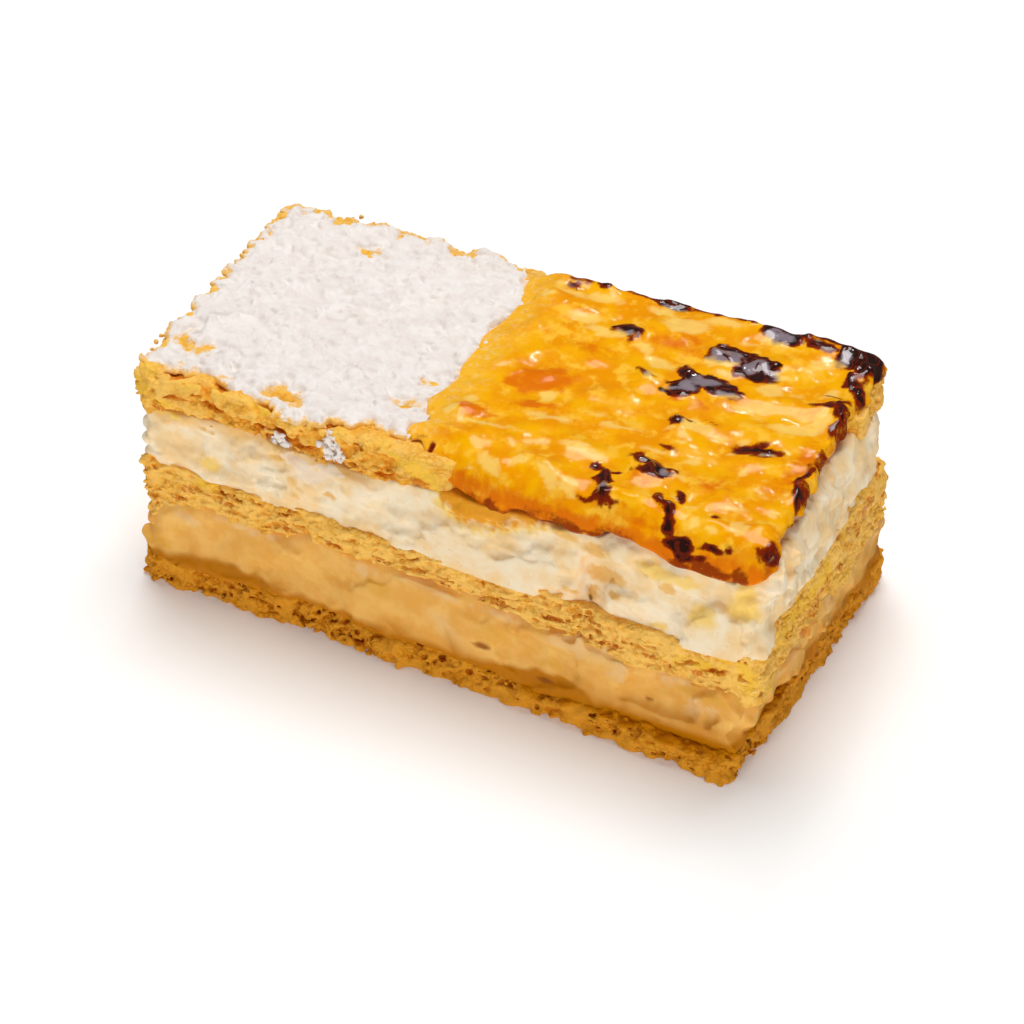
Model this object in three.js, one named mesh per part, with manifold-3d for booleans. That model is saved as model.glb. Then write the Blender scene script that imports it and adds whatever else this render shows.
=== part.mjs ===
import * as THREE from 'three';
import { mergeVertices } from 'three/addons/utils/BufferGeometryUtils.js';
import Module from 'manifold-3d';

// A slice of mille feuille, in millimetres with +Z up. Three pastry sheets hold custard between the
// lower two and whipped cream between the upper two. The left part of the top is dusted with icing
// sugar, and the right part carries a burnt yolk glaze that rolls over the front edge.
// The pieces are laid out from the front left corner of the slice: X runs along the long cut front,
// Y to the back. The finished group is moved so that the origin is under the middle of the slice.

// Driving dimensions
const LENGTH = 110;
const WIDTH = 56;
const GAP = 0.3; // clearance between pieces that touch
const RING_POINTS = 116; // points around each layer
const SEED = 41;

// Height above the table where each layer ends: at the left end and at the right end
const LEVELS = {
  table: [0, 0],
  base: [6.2, 4.8],
  custard: [18.3, 17.8],
  middle: [25.3, 24.6],
  cream: [36.4, 38.2],
  top: [43.0, 43.2],
};

// How far each layer's corners stand from the plain LENGTH by WIDTH rectangle, at its foot and its
// head, in the order front left, front right, back right, back left. The stack has slumped, so the
// upper layers hang out over the front right corner and the base pokes out below them.
const SLUMP = {
  base: {
    foot: [[-0.4, 0.9], [-0.1, -2.6], [0.6, 1.2], [-0.4, -0.4]],
    head: [[0.2, 1.6], [-0.4, -0.4], [1.0, 0.8], [0, -0.6]],
  },
  custard: {
    foot: [[0.6, 1.6], [-1.0, 1.0], [1.0, 0.5], [0.2, -0.8]],
    head: [[0.4, 1.2], [0.8, 1.4], [1.0, 0], [0.2, -1.0]],
  },
  middle: {
    foot: [[-0.4, 0.8], [1.6, 1.4], [1.6, 0], [-0.4, -1.0]],
    head: [[-0.4, 0.8], [2.0, 1.6], [1.0, -2.0], [-0.4, -1.4]],
  },
  cream: {
    foot: [[0.6, 1.4], [2.2, 2.2], [0.2, -4.2], [0.4, -1.6]],
    head: [[0.6, 1.6], [3.4, 3.4], [-0.8, -1.0], [0.2, -2.2]],
  },
  top: {
    foot: [[0.2, 1.4], [3.0, 2.2], [-0.2, 0.4], [0, -2.2]],
    head: [[1.0, 2.8], [2.7, 2.6], [-1.8, 0.6], [-0.1, -2.4]],
  },
};

// The rings of a layer from foot to head: how high each lies in the layer (0 to 1), how far it stands
// out, how uneven it is, and how deep the crevices are that open along it here and there.
// Two rings with the same leaf number are one pastry leaf, with the same ragged outline.
const LEAFY = [
  { at: 0, out: -0.4, rough: 0.7, leaf: 0 },
  { at: 0.24, out: 0.1, rough: 1.1, leaf: 1 },
  { at: 0.33, out: 0, rough: 0.5, crevice: 2.6 },
  { at: 0.43, out: 0.1, rough: 1.1, leaf: 2 },
  { at: 0.62, out: 0, rough: 1.0, leaf: 2 },
  { at: 0.71, out: 0, rough: 0.5, crevice: 2.2 },
  { at: 0.81, out: 0, rough: 1.0, leaf: 3 },
  { at: 1, out: -0.3, rough: 0.7, leaf: 3 },
];
const SMOOTH = [
  { at: 0, out: -0.5, rough: 0.3 },
  { at: 0.12, out: 0, rough: 0.4 },
  { at: 0.4, out: -0.2, rough: 0.6 },
  { at: 0.7, out: 0, rough: 0.6 },
  { at: 0.92, out: 0.1, rough: 0.5 },
  { at: 1, out: -0.5, rough: 0.4 },
];
const TORN = [
  { at: 0, out: -0.6, rough: 0.5 },
  { at: 0.1, out: 0.1, rough: 0.8 },
  { at: 0.3, out: 0.2, rough: 0.9 },
  { at: 0.5, out: 0, rough: 0.8, crevice: 1.8 },
  { at: 0.72, out: 0.2, rough: 0.8 },
  { at: 0.92, out: -0.1, rough: 0.6 },
  { at: 1, out: -0.7, rough: 0.5 },
];
const WAVER = 0.04; // how far a ring wanders up and down, as a share of the layer's height
// The cream has cracked open on the front, down its whole height
const CRACK = { x: 83, half: 2, depth: 1.6 };

const LAYERS = [
  { name: 'base_pastry', key: 'base', below: 'table', rings: LEAFY, corner: 0.8,
    colour: 0xb98534, roughness: 0.85, rough: 1 },
  { name: 'custard', key: 'custard', below: 'base', rings: SMOOTH, corner: 1.6,
    colour: 0xd9a862, roughness: 0.45, rough: 1 },
  { name: 'middle_pastry', key: 'middle', below: 'custard', rings: LEAFY, corner: 1.2,
    colour: 0xd6a145, roughness: 0.8, rough: 1 },
  { name: 'cream', key: 'cream', below: 'middle', rings: TORN, corner: 4,
    colour: 0xeadfc0, roughness: 0.55, rough: 1 },
  { name: 'top_pastry', key: 'top', below: 'cream', rings: LEAFY, corner: 1.5,
    colour: 0xdcaa50, roughness: 0.8, rough: 0.5 },
];

// How thick the glaze and the sugar are at their rims, as a share of their thickness further in
const RIM_SHARE = 0.35;
// Icing sugar and glaze meet along a wavering line across the slice
const MEETING = { x: 47.6, wander: 1.1 };
const SUGAR = { thick: 0.7, lumps: 0.35, frontEdge: 4.2, frontWander: 1.6, sideEdge: 0.3, backEdge: 0.6 };
// Places where the pastry shows through the sugar: middle, half length and half width. Their outlines
// wander by a share of the half length and half width.
const BARE_WANDER = 0.3;
const BARE_POINTS = 14;
const BARE_PATCHES = [
  { x: 3.6, y: 11.6, long: 1.3, wide: 1.5 },
  { x: 7.4, y: 10.2, long: 2.4, wide: 1.5 },
  { x: 44.9, y: 13.4, long: 1.4, wide: 0.8 },
  { x: 18.4, y: 47.0, long: 1.4, wide: 0.5 },
];
const GLAZE = {
  thick: 1.0, ripple: 0.35,
  backRise: 0.9, riseStart: 60.5, riseEnd: 99, // thicker towards the back right corner
  lip: 0.6, // how far it hangs over the right end and the back
  roll: 0.8, rollStart: 53, rollFoot: 39.6, footWander: 0.5, // rolled over the front edge
  startRise: 1.8, startLong: 4, // the foot of the roll is higher where it starts
  standOff: 0.95, // clear of the ragged pastry and cream behind the roll
  cornerStart: 98, cornerEnd: 107, cornerDrop: 1.8, // the roll hangs lower at the front right corner
  drip: { x: 61, half: 4.2, drop: 6.2 },
};
// Blisters in the glaze, browned or charred: middle, half length, half width and rise
const BLISTERS = [
  { x: 88, y: 45.5, long: 6.5, wide: 3.4, rise: 0.9 },
  { x: 82.5, y: 38.5, long: 4.5, wide: 2.2, rise: 0.7 },
  { x: 89, y: 35.5, long: 3.2, wide: 2.2, rise: 0.6 },
  { x: 68.3, y: 45, long: 2.6, wide: 1.6, rise: 0.6 },
  { x: 88, y: 26.8, long: 5.5, wide: 1.8, rise: 0.6 },
  { x: 99.3, y: 25.2, long: 3.4, wide: 1.6, rise: 0.5 },
  { x: 87.5, y: 13.2, long: 3.2, wide: 2.2, rise: 0.7 },
  { x: 81.5, y: 7, long: 2.8, wide: 3, rise: 0.7 },
  { x: 98, y: 2, long: 3.6, wide: 2.6, rise: 0.8 },
  { x: 90, y: 54.5, long: 4.5, wide: 2.4, rise: 0.9 },
  { x: 103, y: 54, long: 4, wide: 2.6, rise: 1 },
  { x: 69, y: 55.2, long: 5.5, wide: 1.2, rise: 0.5 },
  { x: 107, y: 47.5, long: 1.8, wide: 3.6, rise: 0.8 },
  { x: 109.4, y: 19, long: 1.6, wide: 4.6, rise: 0.5 },
];

const wasm = await Module();
wasm.setup();

function randomFrom(seed) {
  let state = seed >>> 0;
  return () => {
    state = (state + 0x6d2b79f5) >>> 0;
    let mixed = Math.imul(state ^ (state >>> 15), 1 | state);
    mixed = (mixed + Math.imul(mixed ^ (mixed >>> 7), 61 | mixed)) ^ mixed;
    return ((mixed ^ (mixed >>> 14)) >>> 0) / 4294967296;
  };
}

// A smooth wave around a ring: s runs from 0 to 1 and the ends meet, values lie between -1 and 1
function ringWave(seed, knots) {
  const random = randomFrom(seed);
  const heights = Array.from({ length: knots }, () => random() * 2 - 1);
  return (s) => {
    const place = (((s % 1) + 1) % 1) * knots;
    const knot = Math.floor(place);
    const blend = THREE.MathUtils.smoothstep(place - knot, 0, 1);
    return THREE.MathUtils.lerp(heights[knot % knots], heights[(knot + 1) % knots], blend);
  };
}

// Uneven ground over the top of the slice, between -1 and 1
function groundWave(seed, cell) {
  const random = randomFrom(seed);
  const across = Math.ceil(LENGTH / cell) + 3;
  const deep = Math.ceil(WIDTH / cell) + 3;
  const heights = Array.from({ length: across * deep }, () => random() * 2 - 1);
  return (x, y) => {
    const column = THREE.MathUtils.clamp(x / cell + 1, 0, across - 1.01);
    const row = THREE.MathUtils.clamp(y / cell + 1, 0, deep - 1.01);
    const i = Math.floor(column);
    const j = Math.floor(row);
    const alongX = THREE.MathUtils.smoothstep(column - i, 0, 1);
    const alongY = THREE.MathUtils.smoothstep(row - j, 0, 1);
    const height = (a, b) => heights[b * across + a];
    const front = THREE.MathUtils.lerp(height(i, j), height(i + 1, j), alongX);
    const back = THREE.MathUtils.lerp(height(i, j + 1), height(i + 1, j + 1), alongX);
    return THREE.MathUtils.lerp(front, back, alongY);
  };
}

function level(key, x) {
  return THREE.MathUtils.lerp(LEVELS[key][0], LEVELS[key][1], x / LENGTH);
}

const PLAIN_CORNERS = [[0, 0], [LENGTH, 0], [LENGTH, WIDTH], [0, WIDTH]];

// The four corners of a layer, part of the way from its foot (0) to its head (1)
function cornersOf(key, rise) {
  return PLAIN_CORNERS.map(([x, y], i) => {
    const foot = new THREE.Vector2(...SLUMP[key].foot[i]);
    const head = new THREE.Vector2(...SLUMP[key].head[i]);
    return foot.lerp(head, rise).add(new THREE.Vector2(x, y));
  });
}

// Evenly spaced points around a layer, with rounded corners
function ringAround(key, rise, corner) {
  const corners = cornersOf(key, rise);
  const shape = new THREE.Shape();
  corners.forEach((point, i) => {
    const before = corners[(i + 3) % 4];
    const after = corners[(i + 1) % 4];
    const arrive = point.clone().lerp(before, corner / point.distanceTo(before));
    const leave = point.clone().lerp(after, corner / point.distanceTo(after));
    if (i === 0) shape.moveTo(arrive.x, arrive.y);
    else shape.lineTo(arrive.x, arrive.y);
    shape.quadraticCurveTo(point.x, point.y, leave.x, leave.y);
  });
  shape.closePath();
  return shape.getSpacedPoints(RING_POINTS).slice(0, RING_POINTS);
}

function crackDepth(point) {
  const away = Math.abs(point.x - CRACK.x) / CRACK.half;
  return point.y < WIDTH / 2 ? CRACK.depth * Math.max(0, 1 - away) : 0;
}

// One layer of the slice: rings stacked from its foot to its head, closed by a flat cap at each end
function layerGeometry(layer) {
  const tall = layer.rings.length;
  const layerSeed = SEED * 100 + LAYERS.indexOf(layer) * 17;
  const leafWaves = [0, 1, 2, 3].map((leaf) => ringWave(layerSeed + leaf, 46));
  const positions = [];
  const flats = [];
  layer.rings.forEach((ring, k) => {
    const points = ringAround(layer.key, ring.at, layer.corner);
    const wave = ring.leaf === undefined ? ringWave(layerSeed + 30 + k, 30) : leafWaves[ring.leaf];
    const broad = ringWave(layerSeed + 50, 13);
    const opening = ringWave(layerSeed + 60 + k, 24);
    const waver = ringWave(layerSeed + 80 + (ring.leaf ?? k + 4), 29);
    const loose = ring.at > 0 && ring.at < 1 ? WAVER : 0;
    const ragged = points.map((point, i) => {
      const s = i / RING_POINTS;
      const along = points[(i + 1) % RING_POINTS].clone().sub(points[(i + RING_POINTS - 1) % RING_POINTS]);
      const outward = new THREE.Vector2(along.y, -along.x).normalize();
      const uneven = (0.7 * wave(s) + 0.3 * broad(s)) * ring.rough * layer.rough;
      const crevice = (ring.crevice ?? 0) * Math.max(0, opening(s));
      const crack = layer.key === 'cream' ? crackDepth(point) : 0;
      return point.clone().addScaledVector(outward, ring.out + uneven - crevice - crack);
    });
    ragged.forEach((point, i) => {
      const foot = level(layer.below, point.x) + (layer.below === 'table' ? 0 : GAP);
      const head = level(layer.key, point.x);
      const rise = ring.at + loose * waver(i / RING_POINTS);
      positions.push(point.x, point.y, THREE.MathUtils.lerp(foot, head, rise));
    });
    flats.push(ragged);
  });
  const index = [];
  for (let k = 0; k < tall - 1; k += 1) {
    for (let i = 0; i < RING_POINTS; i += 1) {
      const a = k * RING_POINTS + i;
      const b = k * RING_POINTS + (i + 1) % RING_POINTS;
      index.push(a, b, b + RING_POINTS, a, b + RING_POINTS, a + RING_POINTS);
    }
  }
  THREE.ShapeUtils.triangulateShape(flats[0], []).forEach(([a, b, c]) => index.push(a, c, b));
  const headStart = (tall - 1) * RING_POINTS;
  THREE.ShapeUtils.triangulateShape(flats[tall - 1], []).forEach(([a, b, c]) => {
    index.push(headStart + a, headStart + b, headStart + c);
  });
  return indexedGeometry(positions, index);
}

function indexedGeometry(positions, index) {
  const geometry = new THREE.BufferGeometry();
  geometry.setAttribute('position', new THREE.Float32BufferAttribute(positions, 3));
  geometry.setIndex(index);
  return geometry;
}

function toSolid(geometry) {
  const bare = geometry.clone();
  bare.deleteAttribute('normal');
  bare.deleteAttribute('uv');
  const merged = mergeVertices(bare);
  return new wasm.Manifold(new wasm.Mesh({
    numProp: 3,
    vertProperties: Float32Array.from(merged.attributes.position.array),
    triVerts: Uint32Array.from(merged.index.array),
  }));
}

function fromSolid(solid) {
  const { vertProperties, triVerts } = solid.getMesh();
  return indexedGeometry(Array.from(vertProperties), Array.from(triVerts));
}

// A closed sheet between an outer and an inner surface, each given over a columns by rows grid.
// Columns run along X and rows from the front to the back.
function sheetGeometry(outer, inner, columns, rows) {
  const positions = [];
  [outer, inner].forEach((surface) => {
    for (let j = 0; j <= rows; j += 1) {
      for (let i = 0; i <= columns; i += 1) {
        positions.push(...surface(i / columns, j / rows).toArray());
      }
    }
  });
  const wide = columns + 1;
  const layerSize = wide * (rows + 1);
  const index = [];
  for (let j = 0; j < rows; j += 1) {
    for (let i = 0; i < columns; i += 1) {
      const a = j * wide + i;
      index.push(a, a + 1, a + wide + 1, a, a + wide + 1, a + wide);
      const b = a + layerSize;
      index.push(b, b + wide + 1, b + 1, b, b + wide, b + wide + 1);
    }
  }
  const edge = [];
  for (let i = 0; i < columns; i += 1) edge.push(i);
  for (let j = 0; j < rows; j += 1) edge.push(j * wide + columns);
  for (let i = columns; i > 0; i -= 1) edge.push(rows * wide + i);
  for (let j = rows; j > 0; j -= 1) edge.push(j * wide);
  edge.forEach((a, n) => {
    const b = edge[(n + 1) % edge.length];
    index.push(a, a + layerSize, b + layerSize, a, b + layerSize, b);
  });
  return indexedGeometry(positions, index);
}

// A point on the top face: x along the slice, across from 0 at the front edge to 1 at the back edge
function onTop(x, across, rise = 1) {
  const [frontLeft, frontRight, backRight, backLeft] = cornersOf('top', rise);
  const along = x / LENGTH;
  const front = frontLeft.clone().lerp(frontRight, along);
  const back = backLeft.clone().lerp(backRight, along);
  return front.lerp(back, across);
}

// A smooth hill of height 1 in the middle of an ellipse, 0 outside it
function hill(x, y, spot) {
  const far = Math.hypot((x - spot.x) / spot.long, (y - spot.y) / spot.wide);
  return far < 1 ? (1 - far * far) ** 2 : 0;
}

const meetingWave = ringWave(SEED + 1, 17);
const topFace = (x) => level('top', x);

function meetingLine(y) {
  return MEETING.x + MEETING.wander * meetingWave(y / (WIDTH * 1.5));
}

// The plain front of the space that the ragged top pastry and cream need behind the glaze
function frontOfRoom(x) {
  return Math.min(onTop(x, 0, 0).y, onTop(x, 0).y) - GLAZE.standOff;
}

// The space under the glaze and the sugar: below the top face and behind the front face
function roomForPastry() {
  const block = new THREE.BoxGeometry(1, 1, 1);
  const { position } = block.attributes;
  const beyond = 9;
  for (let i = 0; i < position.count; i += 1) {
    const x = position.getX(i) < 0 ? -beyond : LENGTH + beyond;
    const y = position.getY(i) < 0 ? frontOfRoom(x) : WIDTH + beyond;
    const z = position.getZ(i) < 0 ? level('custard', x) : topFace(x) + GAP;
    position.setXYZ(i, x, y, z);
  }
  return block;
}

const ripples = groundWave(SEED + 2, 5.5);
const pimples = groundWave(SEED + 3, 2.6);

function thinned(thick, rim) {
  return thick * (RIM_SHARE + (1 - RIM_SHARE) * rim);
}

// The thickness of the glaze above a point of the top face
function glazeThickness(x, y, rim) {
  const swell = BLISTERS.reduce((sum, spot) => sum + spot.rise * hill(x, y, spot), 0);
  const towardsBack = (y / WIDTH) * THREE.MathUtils.smoothstep(x, GLAZE.riseStart, GLAZE.riseEnd);
  const uneven = GLAZE.ripple * (0.6 * ripples(x, y) + 0.4 * pimples(x, y));
  return thinned(GLAZE.thick + GLAZE.backRise * towardsBack + uneven + swell, rim);
}

// The glaze on the top face, which hangs over the right end and the back a little
function glazeCoat() {
  const outer = (u, v) => {
    const y = onTop(LENGTH * 0.75, v).y;
    const x = THREE.MathUtils.lerp(meetingLine(y) + GAP, onTop(LENGTH, v).x + GLAZE.lip, u);
    const place = onTop(x, v);
    const rim = Math.min(1, u * 9, (1 - u) * 12, (1 - v) * 12);
    const overhang = GLAZE.lip * THREE.MathUtils.smoothstep(v, 0.96, 1);
    return new THREE.Vector3(x, place.y + overhang, topFace(x) + glazeThickness(x, place.y, rim));
  };
  const inner = (u, v) => outer(u, v).setZ(topFace(0) - GAP);
  return sheetGeometry(outer, inner, 44, 22);
}

// The glaze that rolled over the front edge, with one long drip down over the cream
function glazeRoll() {
  const footWave = ringWave(SEED + 4, 40);
  const { drip, cornerStart, cornerEnd, rollStart, startLong } = GLAZE;
  const foot = (x) => {
    const drop = drip.drop * Math.sqrt(Math.max(0, 1 - ((x - drip.x) / drip.half) ** 2));
    const corner = GLAZE.cornerDrop * THREE.MathUtils.smoothstep(x, cornerStart, cornerEnd);
    const start = 1 - THREE.MathUtils.smoothstep(x, rollStart, rollStart + startLong);
    const wander = GLAZE.footWander * footWave(x / LENGTH);
    return GLAZE.rollFoot + GLAZE.startRise * start - drop - corner + wander;
  };
  const place = (u, v) => {
    const x = THREE.MathUtils.lerp(rollStart, onTop(LENGTH, 0).x + GLAZE.lip, u);
    const crown = topFace(x) + glazeThickness(x, onTop(x, 0).y, 1);
    return new THREE.Vector3(x, 0, THREE.MathUtils.lerp(foot(x), crown, v));
  };
  const outer = (u, v) => {
    const point = place(u, v);
    const round = Math.sqrt(Math.max(0, 1 - v ** 4)) * Math.min(1, 0.45 + v * 2.5);
    const ends = Math.min(1, 0.4 + u * 12);
    const bulge = GLAZE.roll * round * ends * (1 + GLAZE.ripple * ripples(point.x, point.z));
    return point.setY(frontOfRoom(point.x) - bulge);
  };
  const inner = (u, v) => place(u, v).setY(onTop(LENGTH, 0).y + 1);
  return sheetGeometry(outer, inner, 40, 6);
}

function icingSugar() {
  const lumps = groundWave(SEED + 5, 3.2);
  const swells = groundWave(SEED + 6, 9);
  const frontWave = ringWave(SEED + 7, 11);
  const outer = (u, v) => {
    const nearX = THREE.MathUtils.lerp(SUGAR.sideEdge, MEETING.x, u);
    const front = SUGAR.frontEdge + SUGAR.frontWander * frontWave(nearX / LENGTH);
    const y = THREE.MathUtils.lerp(front, onTop(nearX, 1).y - SUGAR.backEdge, v);
    const x = THREE.MathUtils.lerp(onTop(0, v).x + SUGAR.sideEdge, meetingLine(y) - GAP, u);
    const rim = Math.min(1, u * 10, (1 - u) * 10, v * 10, (1 - v) * 10);
    const thick = SUGAR.thick + SUGAR.lumps * (0.6 * lumps(x, y) + 0.5 * swells(x, y));
    return new THREE.Vector3(x, y, topFace(x) + GAP + thinned(thick, rim));
  };
  const inner = (u, v) => outer(u, v).setZ(topFace(0) - GAP);
  return sheetGeometry(outer, inner, 24, 24);
}

// An upright plug with a wavering outline, which cuts a bare patch through the sugar
function barePatch(spot, seed) {
  const wave = ringWave(seed, 9);
  const points = Array.from({ length: BARE_POINTS }, (_, i) => {
    const turn = (i / BARE_POINTS) * Math.PI * 2;
    const reach = 1 + BARE_WANDER * wave(i / BARE_POINTS);
    const x = spot.x + Math.cos(turn) * spot.long * reach;
    const y = spot.y + Math.sin(turn) * spot.wide * reach;
    return new THREE.Vector2(x, y);
  });
  const plug = new THREE.ExtrudeGeometry(new THREE.Shape(points), { depth: 8, bevelEnabled: false });
  plug.translate(0, 0, topFace(spot.x) - 3);
  return plug;
}

function material(colour, roughness) {
  return new THREE.MeshStandardMaterial({ color: colour, roughness, metalness: 0 });
}

const slice = new THREE.Group();

function addPiece(name, geometry, colour, roughness) {
  const piece = new THREE.Mesh(geometry, material(colour, roughness));
  piece.name = name;
  slice.add(piece);
}

LAYERS.forEach((layer) => {
  addPiece(layer.name, fromSolid(toSolid(layerGeometry(layer))), layer.colour, layer.roughness);
});

const room = toSolid(roomForPastry());

const glazeSolid = toSolid(glazeCoat()).add(toSolid(glazeRoll())).subtract(room);
addPiece('burnt_glaze', fromSolid(glazeSolid), 0xe8930f, 0.2);

let sugarSolid = toSolid(icingSugar()).subtract(room);
BARE_PATCHES.forEach((spot, i) => {
  sugarSolid = sugarSolid.subtract(toSolid(barePatch(spot, SEED + 20 + i)));
});
addPiece('icing_sugar', fromSolid(sugarSolid), 0xf3ece8, 0.95);

// The origin lies on the table under the middle of the slice's outline
const outline = new THREE.Box3().setFromObject(slice);
const middle = outline.getCenter(new THREE.Vector3());
slice.position.set(-middle.x, -middle.y, -outline.min.z);
slice.updateMatrixWorld(true);

export default slice;
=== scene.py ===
from math import cos, radians, sin

import bpy
import numpy as np
import openvdb
from bpy.props import FloatProperty, FloatVectorProperty, PointerProperty
from bpy.types import NodeSocket, Operator, Panel, PropertyGroup
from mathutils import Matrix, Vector


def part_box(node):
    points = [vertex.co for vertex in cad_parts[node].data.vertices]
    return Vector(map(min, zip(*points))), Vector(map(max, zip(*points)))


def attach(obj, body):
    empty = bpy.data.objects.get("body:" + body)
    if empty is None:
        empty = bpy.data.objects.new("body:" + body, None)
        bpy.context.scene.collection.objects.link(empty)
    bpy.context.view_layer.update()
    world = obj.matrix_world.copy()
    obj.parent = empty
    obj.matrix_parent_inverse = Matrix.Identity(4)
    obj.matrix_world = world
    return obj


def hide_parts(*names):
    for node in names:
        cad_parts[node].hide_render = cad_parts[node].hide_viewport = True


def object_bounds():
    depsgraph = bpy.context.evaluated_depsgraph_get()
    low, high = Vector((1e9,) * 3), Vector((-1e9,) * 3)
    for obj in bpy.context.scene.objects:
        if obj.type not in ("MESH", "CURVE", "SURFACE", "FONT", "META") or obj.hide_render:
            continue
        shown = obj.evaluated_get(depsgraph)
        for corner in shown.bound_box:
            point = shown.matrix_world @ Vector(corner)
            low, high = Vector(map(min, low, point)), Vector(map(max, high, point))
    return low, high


bl_info = {
    "name": "Mille Feuille Slice",
    "version": (1, 0, 0),
    "blender": (4, 5, 0),
    "location": "3D View > Sidebar > Mille Feuille",
    "description": "A cut slice of crumbly sheets, custard and cream under sugar and burnt yolk glaze",
    "category": "Add Mesh",
}

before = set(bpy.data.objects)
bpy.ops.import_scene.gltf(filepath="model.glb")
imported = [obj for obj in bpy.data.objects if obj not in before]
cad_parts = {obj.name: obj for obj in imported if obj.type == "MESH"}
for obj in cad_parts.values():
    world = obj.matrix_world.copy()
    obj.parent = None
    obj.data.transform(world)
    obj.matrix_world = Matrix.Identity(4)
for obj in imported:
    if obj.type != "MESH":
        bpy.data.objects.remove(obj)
CAD_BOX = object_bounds()

MM = 0.001

# The slice has its own measures, in mm: x along the cut front face, y to the back, z up from the table.
# They start at the plain corner at the front left, and the ragged solid bulges out past that corner.
LENGTH = 110
WIDTH = 56
LEFT_BULGE = 1.282
FRONT_BULGE = 2.768
CORNER = np.array((CAD_BOX[0][0] / MM + LEFT_BULGE, CAD_BOX[0][1] / MM + FRONT_BULGE, 0))

# Height of each layer's upper side at the slice's left and right end.
LEVELS = {
    "soaked": (4.0, 3.8),
    "soak_top": (6.6, 6.0),
    "base_pastry": (6.2, 4.8),
    "custard": (18.3, 17.8),
    "middle_pastry": (25.3, 24.6),
    "cream": (36.4, 38.2),
    "top_pastry": (43.0, 43.2),
}
# The same heights as they wander along the cut front: (x, z).
FRONT_SEAMS = {
    "soaked": (
        (1, 5.6), (8, 5.6), (15, 5.8), (22, 6.1), (29, 6.2), (36, 6.1), (43, 5.2), (47, 5.2), (50, 5.8),
        (62, 5.8), (66, 5.5), (71, 4.4), (75, 3.6), (80, 4.7), (85, 4.8), (92, 4.8), (103, 4.3), (110, 4.8),
    ),
    "soak_top": (
        (1, 7), (8, 7.6), (12, 8.2), (16, 8.4), (20, 8.3), (27, 7.4), (36, 7.1), (46, 7.2), (55, 7.4),
        (62, 7.8), (70, 7.2), (76, 8.2), (80, 8.3), (86, 7.4), (95, 7), (103, 6.8), (110, 6.8),
    ),
    "custard": (
        (1, 13.6), (4, 16), (8.6, 17.9), (16, 18.4), (23, 17.9), (28, 18.2), (32, 20.2), (41, 19),
        (51, 19.6), (58, 19.1), (66, 18.2), (75, 17.8), (80, 17.2), (88, 15.9), (95, 15.9), (102, 15.7),
        (110, 14.8),
    ),
    "middle_pastry": (
        (1, 25.8), (9, 25.6), (14, 24.6), (24, 24.9), (28, 25.3), (40, 25.2), (46, 24.6), (56, 25.0),
        (70, 24.4), (78, 25.0), (84, 24.0), (92, 24.0), (102, 23.9), (110, 24.6),
    ),
    "cream": (
        (1, 35.8), (7, 36.5), (14, 36.8), (23, 37.4), (27, 36.6), (33, 36.3), (42, 36.1), (51, 36.5),
        (57, 37.7), (112, 38),
    ),
}
FRONT_WAY = np.array((0.0, -1.0))
# Marks on the front don't reach further back than this.
FRONT_DEPTH = 9
# What moves the front of a layer alone fades in over this part of the depth.
NEAR_FRONT = (8, 4)
# Marks on the front are given as seen from a little above and to the right on an upright sheet, which stands
# at SHEET_Y: (x, y). A mark lies SIGHT mm left of its place on the sheet and below it for each mm that the
# wall lies behind the sheet.
SHEET_Y = ((50, 0.5), (60, -0.5))
SIGHT = (0.51, 0.9)
# How much higher a layer's upper side lies at the right end, away from the front.
END_RISE = {"soaked": 2.4, "soak_top": 3.0, "middle_pastry": 3.0, "custard": -2.5}
END_RISE_REACH = (103, 110)
# Away from the front the layers swell a little near the rim. Over SEAM_REACH they turn into the front's.
SEAM_SWELL = 0.45
SWELL_LENGTH = 14
SWELL_REACH = (6, 9)
SEAM_REACH = (3, 10)
# How each piece's block is laid out: the distance between its points, how far it reaches past the CAD node
# along x, y and z, and its random seed.
BLOCKS = {
    "base_pastry": (0.23, (1.3, 1.3, 2.4), 3),
    "custard": (0.3, (1.2, 1.2, 3), 5),
    "middle_pastry": (0.23, (1.4, 1.4, 5), 7),
    "cream": (0.3, (1.2, 1.2, 2.6), 9),
    "top_pastry": (0.24, (1.4, 1.4, 3), 11),
    "burnt_glaze": (0.24, (1.3, 1.5, 1.2), 13),
    "icing_sugar": (0.24, (1.2, 2.2, 1.0), 17),
}
# Relief fades out between these distances from the slice's outline, because it can't be seen further in.
RIM_REACH = (3.5, 7)
# The most triangles that each piece is left with.
MOST_TRIANGLES = {
    "base_pastry": 172000,
    "custard": 90000,
    "middle_pastry": 192000,
    "cream": 110000,
    "top_pastry": 140000,
    "burnt_glaze": 140000,
    "icing_sugar": 140000,
}
# Loose clumps of sugar stay if they have at least so many points.
SUGAR_CLUMP = 30


def tone(*levels):
    """A colour in Blender's linear light from the 0-255 values that a colour chart gives."""
    shares = [level / 255 for level in levels]
    return tuple(c / 12.92 if c < 0.04045 else ((c + 0.055) / 1.055) ** 2.4 for c in shares)


def smooth(value, start, end):
    """0 before start and 1 after end, with a soft change between them."""
    share = np.clip((value - start) / (end - start), 0, 1)
    return share * share * (3 - 2 * share)


def along(marks, value):
    """The second number of a list of marks where the first one is value, in straight lines between them."""
    marks = np.array(marks)
    return np.interp(value, marks[:, 0], marks[:, 1])


def on_slice(point):
    """A point of the frame, in metres, in the slice's own measures."""
    return np.array(point) / MM - CORNER


def swell(x, y, length, seed):
    """Gentle waves of unit height over the plan, crests about length mm apart."""
    draw = np.random.default_rng(seed)
    total = 0
    for _ in range(4):
        turn, start = draw.uniform(0, 2 * np.pi, 2)
        pace = 2 * np.pi / length * draw.uniform(0.7, 1.5)
        total = total + np.sin(pace * (x * cos(turn) + y * sin(turn)) + start)
    return total / 2


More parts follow.
